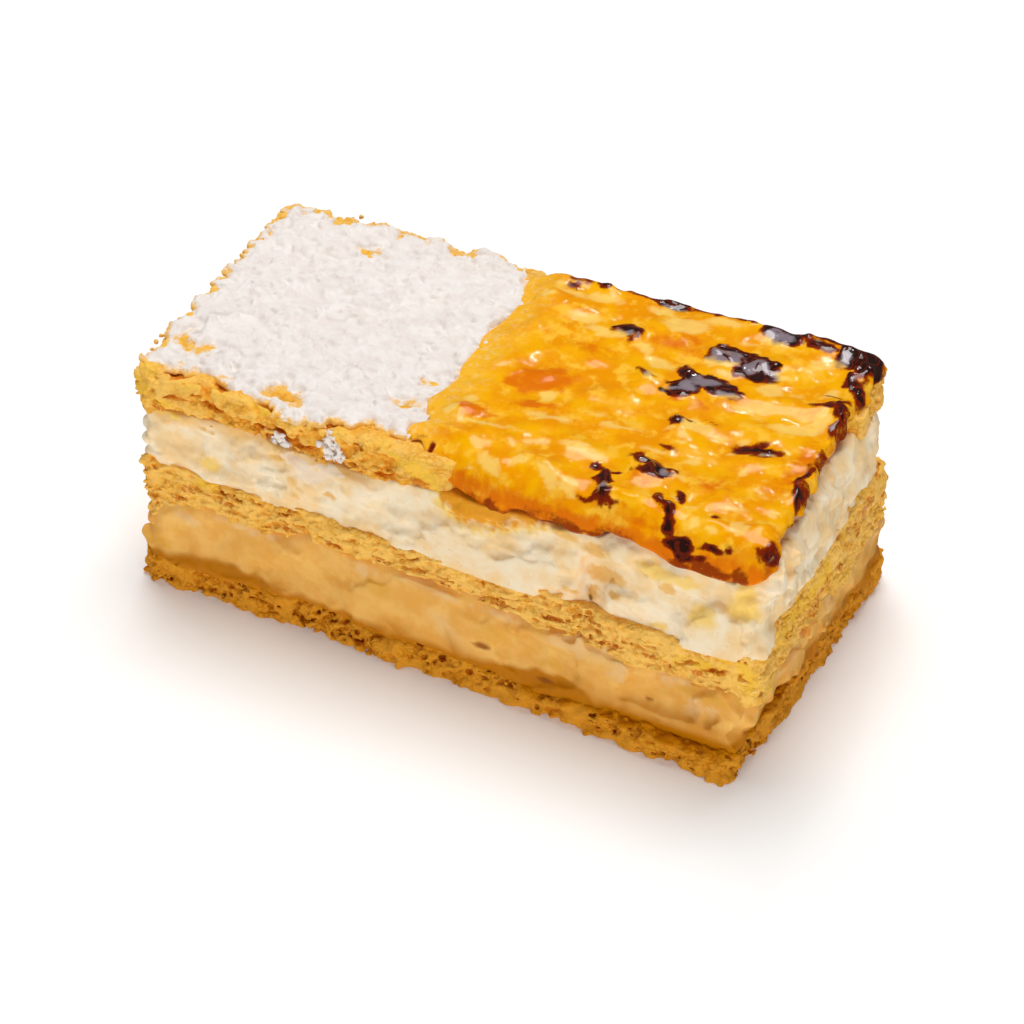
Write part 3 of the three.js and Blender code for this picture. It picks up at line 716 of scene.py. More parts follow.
def shape_custard(settings):
    """Custard, with the soaked band at its foot where it has run into the sheet below."""
    block = Block("custard")
    z = block.z
    walls = block.walls("custard", rounding=1.3, rise=3.2)
    below = block.walls("base_pastry", rounding=1.0, rise=6)
    foot = block.seam("soaked")
    top = block.seam("custard")
    body = np.minimum(walls - 0.4, below + 0.15 + 0.4 * np.maximum(0, z - foot - 1.2))
    body = block.soften(body, 0.6)
    body -= block.rim * block.relief(RELIEF)
    body += 0.6 * smooth(z, top - 0.9, top + 0.2)
    front_lumps(block, body, CUSTARD_LUMPS, depth=0.9, stands=0.42, blend=0.3)
    left_lumps(block, body, LEFT_CUSTARD, 0.35)
    torn_ends(block, body, foot + 0.5, top)
    front_cuts(block, body, CUSTARD_PITS)
    crisp = smooth(block.x, 100, 105)
    grain = (0.05 + 0.05 * crisp) * block.rumple((0.9, 0.9, 0.8))
    grain = grain + 0.25 * crisp * block.rumple((1.6, 2, 2.2))
    body = block.soften(body, 0.2) - block.rim * grain
    foot = foot - 0.1 - 0.2 * block.rumple((1.6, 1.6, 2))
    body = np.maximum(body, np.maximum(foot - z, z - top - 1.5))
    points, faces = block.skin(body)
    px, py, pz = points.T
    seen = as_seen(points)
    above = pz - seam("soak_top", px, py)
    under = seam("custard", px, py) - pz
    fade = settings.fade / MM
    band = 1 - smooth(above + 0.3 * wobble(points, 5, 2), -fade, fade)
    risen = 0.4 * smooth(px, 76, 82) * (1 - smooth(above + 0.5 * wobble(points, 7, 6), 0.5, 3.4))
    skimmed = 0.8 * (1 - smooth(under + 0.6 * wobble(points, 5, 3), 0.3, 2.4))
    masks = {
        "soak": np.maximum(band, risen),
        "milk": np.maximum(ovals(seen, CUSTARD_MILK, 0.4), skimmed * smooth(wobble(points, 9, 4), 0, 0.7)),
        "yolk": ovals(seen, CUSTARD_YOLK),
        # Dark specks, with painted shade in the pits.
        "spot": ovals(seen, CUSTARD_SPECKS_AND_PIT_SHADE, 0.1),
    }
    return (points, faces), masks


# How much further forward than its solid the front of the middle sheet stands at its right half.
SHEET_OUT = 0.3


def shape_middle(settings):
    """The middle sheet: fine crumb with long slits, hanging over the custard in ragged flakes."""
    block = Block("middle_pastry")
    x, y, z = block.x, block.y, block.z
    walls = block.tall(block.walls("middle_pastry", rounding=0.5, rise=2.3), 2.3) - 0.3
    walls = walls - SHEET_OUT * smooth(x, 42, 60) * smooth(y, *NEAR_FRONT)
    walls = np.maximum(walls, 1.7 + 0.6 * block.rumple((3, 3, 2.2)) - x)
    foot = block.seam("custard")
    top = block.seam("middle_pastry")
    flakes = smooth(x, 10, 2) * 3 + smooth(x, 104, 110) * 2.0
    foot = foot - flakes * (0.5 + 0.5 * swell(x, y, 7, 20))
    ragged = block.rim * 0.45 * block.rumple((1.7, 1.7, 2))
    body = walls + 0.2
    body -= block.rim * block.relief(RELIEF)
    body = np.maximum(body, np.maximum(foot + ragged - z, z - top - 0.5 * ragged))
    crumble(block, body, walls, foot + 0.4, top - 0.1, settings.crumb / MM)
    front_cuts(block, body, MIDDLE_SLITS)
    body = np.maximum(body, z - top - 0.3 - 0.2 * block.rumple((1.4, 1.4, 2)))
    body -= block.rim * block.relief(GRAIN)
    points, faces = block.skin(body)
    seen = as_seen(points)
    px, py, pz = points.T
    end = 0.8 * smooth(px, 107, 109.5) * smooth(py, 14, 20)
    wet_end = 0.35 * smooth(px, 107, 110) * smooth(wobble(points, 7, 22), 0.1, 0.9)
    below_top = smooth(seam("middle_pastry", px, py) - pz, -0.3, 0.7)
    masks = {
        # Deeper colour where the crumb lies in below the top, partly browning and partly painted shade. The
        # right half is painted paler: painted light to make up for the shade under the cream.
        "hollow": -block.at(walls, points) * below_top - 0.5 * smooth(px, 40, 60),
        # Darker crumb: painted shade in the slits, baked colour at the right end.
        "toast": np.maximum(0.9 * ovals(seen, MIDDLE_TOAST_AND_SHADE), end * smooth(wobble(points, 5, 21), 0.35, 0.8)),
        "yolk": np.maximum(ovals(seen, MIDDLE_YOLK, 0.4), wet_end),
        "dust": 0.42 * smooth(px, 107.5, 109.5) * smooth(wobble(points, 5, 23), -0.6, 0.6),
    }
    return (points, faces), masks


# Where a thin wash of glaze ends that has run down over the cream (x, z) and its bubbles (x, z, radius).
WASH_FOOT = (
    (53, 40), (55.5, 37.6), (57.5, 34.6), (60, 33.2), (63, 32.4), (66, 33.6), (70, 34.6), (73, 36),
    (76, 37.6), (82, 39.6),
)
FOAM = (
    (70.8, 37.2, 1.8), (63.6, 33.8, 1.7), (61, 33.4, 0.8), (66.4, 34.8, 0.9), (75.8, 38.9, 1.3),
    (58.4, 36.8, 0.6),
)
# Where the cream has parted in a fold on the front.
FOLD = 81.6
# From here to the right the cream has risen over the end of the top sheet.
CREAM_CLIMB = 108.6


def cream_climb(y):
    """Where the cream rises over the end of the top sheet. At the back corner the crumb stays bare."""
    return CREAM_CLIMB + 6 * smooth(y, 40, 46)


def shape_cream(settings):
    """Whipped cream, torn and smeared by the knife, with one fold where it has parted."""
    block = Block("cream")
    x, y, z = block.x, block.y, block.z
    walls = block.walls("cream", rounding=1.3, rise=2.4)
    foot = block.seam("middle_pastry")
    # The right half of the front stands further forward than its solid, most of all at the foot.
    forward = 0.45 + 0.45 * smooth(z, 31, 27)
    walls = walls - 0.5 - forward * smooth(x, 50, 62) * smooth(y, *NEAR_FRONT)
    walls = walls - 0.3 * smooth(z, 30, 36) * smooth(x, 60, 90) * smooth(y, *NEAR_FRONT)
    walls = np.maximum(walls, 2.1 + 0.4 * block.rumple((3, 3, 3)) - x)
    ends = smooth(block.inset + np.maximum(0, FRONT_DEPTH - y) * (x > 3) * (x < LENGTH - 3), 3, 0)
    body = walls - block.rim * (settings.tear / MM) * block.relief(RELIEF)
    climb = cream_climb(y)
    top = block.seam("cream") + 3.4 * smooth(x, climb - 0.6, climb + 0.4)
    top = top + 2.4 * smooth(np.abs(x - 89.6), 6, 2) * smooth(y, 6, 4)
    torn = ends * 0.35 * block.rumple((1.8, 1.8, 1.5))
    body -= block.rim * (torn + 0.12 * np.abs(block.rumple((3.4, 3.4, 1.8))))
    front_lumps(block, body, CREAM_LUMPS, depth=1.1, stands=0.38, blend=0.5)
    left_lumps(block, body, LEFT_CREAM, 0.3)
    fold = x + 0.45 * (z - 31) ** 2 / 10 - FOLD
    fold = 1.2 * smooth(fold, 0, 0.4) * smooth(fold, 6, 1.5)
    body += fold * smooth(z, 24.5, 26) * smooth(z, 35, 32) * (y < FRONT_DEPTH)
    torn_ends(block, body, foot, top)
    front_cuts(block, body, CREAM_TEARS)
    body = block.soften(body, 0.15)
    grain = block.relief(GRAIN)
    froth = 0.14 * smooth(x, 107.5, 109.5) * np.abs(block.rumple((0.9, 0.9, 0.9)))
    body = body - block.rim * (grain - froth)
    body = np.maximum(body, np.maximum(foot - 0.9 - z, z - top - 0.35))
    for px, pz, half in FOAM:
        place = block.on_front(body, px, pz) + (0, 0.3, 0)
        block.blobs(body, [place], [FRONT_WAY], [np.array((half, 0.75, half * 0.8))], [px], blend=0.3)
    points, faces = block.skin(body)
    px, py, pz = points.T
    seen = as_seen(points)
    front = py < FRONT_DEPTH
    foam = np.zeros(len(points))
    for middle_x, middle_z, half in FOAM:
        far = np.hypot(seen[:, 0] - middle_x, seen[:, 2] - middle_z) / half
        far += 0.25 * wobble(points, 1.6, int(10 * middle_x))
        foam = np.maximum(foam, smooth(far, 0.2, 0.9) * (1 - smooth(far, 0.95, 1.3)) * front)
    run = seen[:, 2] - along(WASH_FOOT, seen[:, 0]) + 0.5 * wobble(points, 3, 41)
    run = run + 0.7 * wobble(points, 1.4, 42)
    smear = 1 - smooth(seam("cream", px, py) - pz + 0.7 * wobble(points, 6, 5), 0.2, 2.6)
    smear = smear * (1 - smooth(px, 40, 55))
    masks = {
        "stain": np.maximum(0.75 * smear, ovals(seen, CREAM_STAINS)),
        "yolk": ovals(seen, CREAM_YOLK, 0.3),
        # Painted shade in the hole.
        "hole": ovals(seen, CREAM_HOLE_SHADE, 0.1),
        "wash": smooth(run, -0.8, 4.2) * front * smooth(px, 54.5, 57) * smooth(px, 81, 77),
        "foam": foam,
        "dust": ovals(seen, CREAM_DUST),
    }
    return (points, faces), masks


# How far the left half of the top sheet's front stands in front of its solid.
SHEET_FORWARD = 0.9


def shape_top(settings):
    """The top sheet: coarse golden chunks, open at the front left and hidden under the covers elsewhere."""
    block = Block("top_pastry")
    x, y, z = block.x, block.y, block.z
    walls = block.walls("top_pastry", rounding=0.55, rise=3)
    foot = block.seam("cream") - 2 * (1 - smooth(x, 0, 9)) * smooth(y, 3, 10)
    top = level("top_pastry", x)
    walls = walls - SHEET_FORWARD * smooth(y, 9, 5) * smooth(x, 58, 50)
    under_glaze = smooth(x, 57, 60) * smooth(y, 9, 5)
    bare = 1 - under_glaze
    body = np.maximum(walls + 0.1, x - cream_climb(y) + 0.5)
    open_top = smooth(y, 9, 4) * (1 - smooth(x, 46, 50))
    body -= bare * block.rim * block.relief(RELIEF)
    left_lumps(block, body, LEFT_TOP, 0.2)
    body = np.maximum(body, foot + bare * block.rim * 0.5 * block.rumple((1.4, 1.4, 2)) - z)
    body = np.maximum(body, z - (top - open_top * 0.5 * (0.6 + block.rumple((2, 1.6, 3)))))
    crumble(block, body, walls, foot + 0.5, top, settings.crumb / MM)
    front_cuts(block, body, TOP_SLITS)
    body -= block.rim * block.relief(GRAIN)
    body = np.maximum(body, np.maximum(z - top - 0.35, walls - 0.7 + 2.9 * under_glaze))
    body = np.maximum(body, x - cream_climb(y) - 0.3)
    points, faces = block.skin(body)
    px, py, pz = points.T
    seen = as_seen(points)
    low_edge = 1 - smooth(pz - seam("cream", px, py) + 0.5 * wobble(points, 4, 6), 0.2, 1.8)
    wet_top = 0.6 * smooth(pz, 41.8, 43) * smooth(wobble(points, 6, 7), -0.4, 0.8)
    masks = {
        # Deeper colour where the crumb lies in, partly browning and partly painted shade; the whole sheet
        # gets some, its top face much less.
        "hollow": (0.45 - block.at(walls, points)) * (1 - 0.85 * smooth(pz, 42.1, 42.8)),
        # Darker crumb: painted shade in the slits, darker along the sheet's lower edge and in a few baked
        # places.
        "toast": np.maximum(0.9 * ovals(seen, TOP_TOAST_AND_SHADE), 0.55 * low_edge),
        "yolk": np.maximum(ovals(seen, TOP_YOLK, 0.4), wet_top),
        "dust": np.maximum(ovals(seen, TOP_DUST), 0.05 * smooth(pz, 42.2, 42.9) * (px < 47)),
    }
    return (points, faces), masks


# Where the glaze's roll over the front edge ends: (x, z).
ROLL_FOOT = (
    (51, 43.6), (53.4, 41.6), (55.4, 39.6), (57.2, 38.5), (60, 38.5), (63, 38), (65, 36.6), (67.4, 36.8),
    (69.4, 38.6), (73, 39.2), (78, 39.3), (81, 38.4), (83.5, 38.7), (86, 39.9), (90, 40.5), (93, 40.1),
    (96, 38.9), (99, 38.1), (103, 37.5), (107, 36.5), (109.5, 37.6), (112.5, 40.6),
)
# Dark red beads of caramel under the front edge: (x, z, half length, half height).
BEADS = (
    (66.2, 39, 1.0, 1.7), (70.8, 40, 1.1, 0.7), (80.8, 40.3, 2.6, 0.9), (104, 40.6, 2.6, 1.5),
    (109.6, 41, 1.2, 1.4), (60.4, 39, 1.6, 0.5), (99, 39.9, 1.8, 0.8), (84.6, 40.8, 1.2, 0.6),
)
# Where the glaze ends at the back (x, y) and at the right (y, x), and where it meets the sugar (y, x).
GLAZE_BACK = (
    (46, 53.2), (55, 53.9), (65, 54.6), (75, 55.4), (85, 55.7), (95, 56.6), (105, 57.4), (112, 57),
)
GLAZE_RIGHT = (
    (-6, 113.4), (0, 113.2), (5, 112.7), (15, 112), (25, 110.8), (35, 110), (45, 109.2), (57, 108.9),
)
MEETING = (
    (-2, 48.5), (8, 47.6), (10, 49.8), (12, 48.2), (15, 46.8), (17, 47.6), (22, 48.6), (25, 47.6),
    (30, 47.4), (35, 47), (40, 48.2), (45, 48), (50, 46.6), (54, 46), (60, 46.4),
)
# Where the glaze ends below the top on the hidden walls.
GLAZE_BOTTOM = 42.4
# Places along the hidden edges that char in lumps: (least x, least y, greatest x, greatest y, lumps).
CHARRED_EDGES = ((52, 52, 111, 59, 420), (106, 8, 114, 59, 220))
# Small round bubbles all over the glaze.
BUBBLES = 420
# Burnt islands and spots on the glaze: (x, y, half length, half width, turn in degrees). Those on the front
# carry on past the edge with y below 0.
BURNS = (
    (86.4, 44.9, 3.8, 2.3, 10), (91.8, 44, 3.6, 2.8, -10), (90.4, 42.2, 2.2, 1.3, 15),
    (85.8, 37.2, 4.2, 2.2, -4), (83.2, 33.8, 2.4, 2.3, 30), (89.8, 36.4, 2.6, 1.5, -10),
    (82, 38, 0.9, 1.6, 0), (68.7, 43.8, 2.5, 1.5, 0), (71.6, 54.3, 3.8, 1.1, 3), (66.6, 54.4, 1.8, 0.6, 0),
    (54.9, 51.8, 1.0, 0.8, 30), (59.6, 54, 1.1, 1.1, 0), (56.6, 53.8, 0.7, 0.4, 0), (80.3, 55, 1.0, 0.5, 0),
    (85, 55.4, 1.3, 0.6, 10), (91.7, 54.2, 3.6, 2.4, 0), (96, 55.6, 1.6, 1.0, 20),
    (98.6, 54, 2.4, 1.0, -12), (99.6, 56.6, 3.2, 0.9, 0), (103.7, 53.2, 1.9, 2.9, 15),
    (107.4, 53.4, 1.7, 4.0, 4), (107, 48, 1.3, 1.7, -15), (108.4, 45.6, 0.6, 1.8, 10),
    (108.2, 39.8, 0.8, 2.0, 10), (105.6, 39.8, 2.0, 0.45, 10), (109.3, 36, 0.5, 2.2, 8),
    (109.8, 22, 0.45, 1.9, 6), (110.7, 18, 0.65, 2.1, 12), (111.7, 15, 0.4, 1.4, 8),
    (112.2, 3.4, 0.7, 2.1, 0), (76.6, 34.9, 1.2, 0.4, 0), (87.6, 18.7, 1.0, 0.4, 0),
    (86.3, 25.2, 1.3, 1.3, 50), (99.4, 24.3, 2.6, 1.0, 6), (100.4, 25.4, 0.8, 1.4, -30),
    (102.6, 24.8, 1.5, 0.6, 20), (98, 23.4, 1.3, 0.5, 30), (86.6, 13.7, 2.0, 1.0, 0),
    (88.6, 11.7, 1.9, 1.9, 20), (90.8, 13.2, 1.1, 0.8, 0), (90.6, 11.2, 1.3, 1.0, 0),
    (79.6, 9.2, 1.1, 0.8, 0), (82.0, 6.8, 1.5, 2.3, 20), (83.6, 4, 1.3, 1.3, 0), (83.4, 2.9, 2.4, 0.5, 5),
    (84.2, 9, 0.8, 0.4, 0), (94.9, 8.6, 1.1, 0.8, -30), (93.6, 6, 1.3, 0.5, 0), (94.5, 4.8, 1.1, 1.1, 0),
    (95.2, 2.6, 0.8, 2.0, 25), (98.0, -1.2, 2.4, 2.1, 15), (99, -3.8, 1.6, 1.2, 0), (103.6, 0, 1.9, 0.9, 0),
    (106.6, 1.4, 0.5, 0.8, 20), (102, -3, 1.2, 0.6, 0), (101.6, 6.2, 0.7, 0.5, 0), (53.4, 3.3, 0.4, 0.9, 0),
)
# Black rims and folds of the burnt places: each is a line of (x, y) and its half width.
RIMS = (
    (((82.6, 45.2), (83.6, 46.6), (85.6, 47.4), (88.6, 47), (91.5, 46.9), (95.2, 45.6)), 0.42),
    (((94.8, 45.4), (93.6, 43.6), (93.3, 42.4), (91.6, 41.2), (89.2, 41.6)), 0.45),
    (((89.8, 46.6), (89.2, 45), (88.8, 43.2)), 0.3), (((90.8, 45.2), (92.4, 43.4), (92.2, 42.2)), 0.6),
    (((85.4, 44.2), (86.2, 43.4)), 0.5),
    (((81.4, 39.1), (83.8, 39.2), (86.4, 39.1), (88.4, 38), (90.6, 37.6), (92, 36.6)), 0.4),
    (((81.8, 38.8), (81.7, 36.6), (82.2, 35.2)), 0.45), (((80.2, 34.4), (81.6, 34.9)), 0.45),
    (((80, 32.2), (82.6, 31.7), (84.6, 32.6)), 0.4), (((88.4, 36.6), (90.2, 37)), 0.6),
    (((85.2, 38.6), (86.6, 38.3)), 0.4),
    (((66, 44.2), (67.6, 45), (69.4, 45.1), (70.9, 44.2), (70.7, 42.8)), 0.32),
    (((64.6, 54.5), (67.4, 54.3), (70, 55), (74.4, 55.4)), 0.32),
    (((88.6, 55.6), (91, 56.4), (94.4, 56.2), (96.6, 55.2)), 0.5), (((91.2, 54.8), (91.6, 54.4)), 0.3),
    (((96.4, 56.4), (100, 57), (104.4, 57)), 0.5), (((97, 54.4), (98.6, 53.8), (100.8, 53.4)), 0.35),
    (((101.8, 53.6), (102.2, 55.4), (104, 56.4), (105.4, 54.6), (105.6, 51.2)), 0.45),
    (((105.8, 56.6), (106.2, 53), (106.6, 50)), 0.35), (((107.4, 57), (108.6, 54.6), (108.4, 51)), 0.55),
    (((106, 49.6), (106.4, 47.4), (108, 46.4), (108.8, 44.6)), 0.45), (((107.4, 40.8), (109, 38)), 0.4),
    (((105, 42.6), (106.8, 41.8)), 0.25), (((109.4, 23), (109.8, 20.6)), 0.35),
    (((110.2, 19.4), (111, 16.6), (111.8, 14.6)), 0.4),
    (((85.2, 24.9), (86.8, 26.3), (88.8, 27.6), (90.4, 27.9), (92, 27.2)), 0.2),
    (((85.4, 25), (86.2, 25.8)), 0.55), (((97, 23.6), (99.6, 24.3), (102.6, 25.4)), 0.45),
    (((99.8, 24.6), (100.4, 26)), 0.4), (((85, 13.2), (86.6, 14), (88.4, 13.6)), 0.35),
    (((87.4, 13), (88, 11.4), (89, 10.2)), 0.5), (((81.4, 8.6), (82.6, 5.6)), 0.45),
    (((81.6, 2.9), (83.6, 2.6), (86, 3.2)), 0.3), (((94, 8.9), (95.6, 8.4)), 0.3),
    (((92.4, 6.3), (94, 5.6), (95.2, 4.4)), 0.4), (((95.6, 1), (97, -0.2), (98, -2.2), (99.2, -3.6)), 0.6),
    (((99.6, 0), (100.2, -1.6)), 0.35), (((103, 0.3), (104.4, 0)), 0.25), (((112, 4.6), (112.6, 2)), 0.35),
)
# Painted reflections of a bright ceiling, with a few paler places of glaze among them: (x, y, half length,
# half width, turn in degrees). They are painted pale on the glaze and grey where it is burnt.
SHEENS = (
    (86.2, 44.4, 3.2, 2.5, 10), (84.8, 42.6, 2.6, 1.4, 10), (91.4, 44.2, 2.6, 2.2, 0),
    (90, 41.9, 2.0, 0.8, 10), (95.4, 43.6, 2.2, 1.6, 0), (85.6, 37.2, 3.2, 1.7, 0),
    (83.8, 34.4, 1.8, 2.2, 30), (82.2, 33, 2.2, 0.9, 5), (90, 35.4, 2.4, 1.2, 0), (68.6, 43.3, 2.0, 1.2, 0),
    (67, 42, 2.6, 0.7, 20), (72, 53.4, 3.2, 0.9, 0), (91.4, 53.6, 3.0, 1.9, 0), (91.4, 51.4, 2.8, 0.9, 0),
    (103.6, 52.6, 1.5, 2.4, 15), (100.6, 49.8, 3.0, 1.5, 40), (106.6, 48.2, 0.8, 1.0, 0),
    (97.6, 55.2, 1.4, 0.5, 20), (89.6, 25.6, 3.4, 1.8, 0), (94, 24.6, 2.0, 1.0, -15),
    (86, 23.4, 1.2, 0.6, 0), (97.8, 26, 1.5, 1.1, 0), (102.4, 24.2, 1.6, 0.8, 15), (97.4, 22, 1.4, 0.9, 20),
    (90.2, 12, 1.3, 1.1, 0), (83.4, 4.7, 1.4, 1.0, 0), (93, 12.4, 1.4, 0.7, 0), (94.4, 7.2, 1.2, 0.6, -30),
    (101.4, 6.2, 0.6, 0.5, 0), (76.8, 34, 1.6, 0.9, 0), (56, 49.6, 4, 0.9, 0), (53, 51, 2, 1, 0),
    (61, 50.8, 4, 1.4, 8), (76.5, 49.4, 4.5, 2.4, 12), (71, 51.4, 3, 1.2, 0), (60.6, 44.6, 3.4, 1.6, 10),
    (64, 42.4, 3.4, 1.2, 0), (76.8, 38.4, 3.6, 1.5, -15), (73, 41, 2.6, 1.2, 0), (81.5, 52.8, 3.6, 1.4, 10),
    (96, 39.6, 2.6, 2.0, 10), (105.2, 43.4, 2.2, 1, 60), (103.6, 32.6, 5, 1.6, 18),
    (106.6, 35.8, 1.6, 2.6, 0), (94, 33.4, 3.4, 0.8, 0), (78, 20, 5, 1.0, 12), (68, 17.4, 7, 1, 8),
    (64.6, 22.6, 2.0, 1.6, -40), (74, 21.6, 3, 0.7, 25), (89.4, 21.4, 1.4, 0.7, 0), (86, 17, 4.4, 0.7, 10),
    (92.6, 17.8, 1.8, 1.4, 50), (101.2, 18.6, 1.2, 1.0, 0), (105, 18, 0.8, 0.7, 0), (76, 11.8, 4.4, 1.4, 0),
    (52.2, 12.6, 1.4, 1.6, 0), (59, 11.4, 8, 0.8, 4), (64, 3.4, 3, 1.5, -35), (68.4, 5, 2, 1, 20),
    (74.4, 4, 3.2, 1.3, -30), (78, 3.6, 1.4, 1.8, 40), (99.4, 4, 1.4, 1.2, 0), (103.4, 9.2, 3.6, 0.8, 8),
    (106.4, 5.4, 1.6, 1.8, 40), (102.4, 3.6, 1.0, 0.8, 0), (97.8, 6.8, 1.6, 0.6, 30),
    (106.6, 14.6, 2.4, 0.6, 0), (52, 47.6, 2, 1, 0), (72, 23.2, 0.8, 0.8, 0), (97, 32.6, 1, 0.4, 0),
    (60.8, 1.6, 1.2, 0.7, 10), (109, 16.4, 0.7, 1.4, 8), (101.4, 40.6, 2.6, 0.7, 10),
    (87.4, 49.8, 2.4, 0.6, 20), (54, 16.4, 1.2, 1.4, 0),
)
# Thick orange places in the same form.
DEEP_PLACES = (
    (62, 26.4, 6, 4.4, 30), (64, 19.6, 4, 1.4, 10), (59, 23.8, 3, 2, 0), (83, 31, 3, 1, 10),
    (88, 31.6, 3, 1, 0), (98, 13, 4, 3, 0), (56, 14, 4, 1.6, 0), (108.6, 24, 2, 8, 0), (87, 8.6, 3, 3, 30),
    (79, 45, 4, 3, 0), (66, 37, 5, 2, 0), (92, 1.4, 8, 1.6, 0), (108, 20, 3, 6, 0), (75, 44, 3, 2, 0),
)


def meeting(y):
    """Where the sugar ends and the glaze starts, along x."""
    return along(MEETING, y)


def turned(x, y, patch):
    """How far places lie from the middle of a turned oval, as a share of its half lengths."""
    middle_x, middle_y, half_x, half_y, lean = patch
    dx, dy, turn = x - middle_x, y - middle_y, radians(lean)
    return np.hypot((dx * cos(turn) + dy * sin(turn)) / half_x, (dy * cos(turn) - dx * sin(turn)) / half_y)


def unrolled(y, z):
    """The place across the slice, carried on below 0 for what hangs down over the front edge."""
    return y - 1.41 * np.clip(44 - z, 0, 9) * smooth(y, 12, 7)


def burn(x, y):
    """How burnt places on the glaze are (0-1), and how black, glossy rims stand on them (0-1)."""
    near = np.full(np.broadcast(x, y).shape, -1.0)
    for spot in BURNS:
        near = np.maximum(near, (1 - turned(x, y, spot)) * min(spot[2], spot[3]))
    far = np.full(near.shape, 9.0)
    for line, half in RIMS:
        for (x0, y0), (x1, y1) in zip(line, line[1:]):
            run_x, run_y = x1 - x0, y1 - y0
            share = np.clip(((x - x0) * run_x + (y - y0) * run_y) / (run_x ** 2 + run_y ** 2), 0, 1)
            far = np.minimum(far, np.hypot(x - x0 - share * run_x, y - y0 - share * run_y) - half)
    return smooth(near, -0.8, 0.7), 1 - smooth(far, -0.4, 0.25)


def shape_glaze(settings):
    """Burnt yolk glaze: a glossy skin over the top that rolls over the front edge, blistered and charred."""
    block = Block("burnt_glaze")
    x, y, z = block.x, block.y, block.z
    sheet = block.soften(block.tall(block.solid("top_pastry", 5), 1.5), 0.7)
    sheet = sheet - 0.15 + (block.soften(sheet, 1.5) - sheet) * smooth(y, 18, 9)
    bend_x = block.wander(x, BENDS[block.node])
    bend_y = block.wander(y, BENDS[block.node])
    burnt, rims = burn(bend_x, bend_y)
    start = meeting(y)
    late = 6 * smooth(y, 9, 3)
    grown = smooth(x - start - late, -0.5, 6.5 + late)
    back = smooth(x, 60, 104) * smooth(y, 20, 54)
    thick = settings.thickness / MM * (1.4 * grown - 0.4) + 0.2 * back
    front = smooth(y, 6, 2)
    side = smooth(z, 43.4, 42) * front
    roll_foot = block.wander(along(ROLL_FOOT, x).astype(np.float32), ((0.45, 1.8, 3, 3),))
    thick = thick + 0.4 * side * smooth(z, 37, 39.5) * grown
    relief = settings.ripple / MM * grown * block.relief(RELIEF)
    relief = relief + 0.06 * smooth(x - start, 14, 4) * block.rumple((0.9, 0.9, 1))
    charred = burnt * (0.1 + 0.13 * block.rumple((1.5, 1.1, 1.2)))
    raised = rims * (0.2 + 0.08 * block.rumple((0.6, 0.6, 0.6)))
    relief = relief + charred + raised
    roll = sheet + 0.2 - thick - relief
    frayed = block.wander(0.25 * swell(x, y, 9, 31), ((0.25, 1.6, 1.6, 3),))
    foot = np.where(front > 0, roll_foot, GLAZE_BOTTOM) + (1 - front) * frayed
    wall = np.maximum(x - along(GLAZE_RIGHT, y), y - along(GLAZE_BACK, x))
    wall = wall + 0.35 * block.rumple((1.2, 1.2, 1.5))
    lip = np.maximum(np.maximum(foot - z, start - x), wall)
    share = np.clip(0.5 + (roll - lip) / 0.5, 0, 1)
    body = roll * share + lip * (1 - share) + 0.25 * share * (1 - share)
    front_lumps(block, body, [(*bead, 0) for bead in BEADS], depth=0.8, stands=0.35, blend=0.35)
    for low_x, low_y, high_x, high_y, count in CHARRED_EDGES:
        where = (x > low_x) & (x < high_x) & (y > low_y) & (y < high_y)
        places, facing = block.on_walls(body, count, GLAZE_BOTTOM, 44.6, where)
        heat = swell(places[:, 0], places[:, 1], 9, 33) > -0.7
        sizes = scatter_sizes(block.draw, heat.sum(), 0.2, 0.65, (0.9, 1, 0.8))
        leans = block.draw.normal(0, 0.6, heat.sum())
        block.blobs(body, places[heat], facing[heat], sizes, leans, blend=0.1)
    top = (np.abs(roll) < 0.6 * block.step) & (z > 42)
    bubbles, facing = block.on_walls(roll, BUBBLES, 39.5, 45.6, top | (y < 3))
    sizes = np.repeat(0.14 + 0.3 * block.draw.uniform(0, 1, (BUBBLES, 1)) ** 3, 3, 1)
    block.blobs(body, bubbles, facing, sizes, blend=0.08)
    points, faces = block.skin(block.soften(body, 0.1), merge=0.012)
    return (points, faces), glaze_masks(block, points, bend_x - x, bend_y - y)


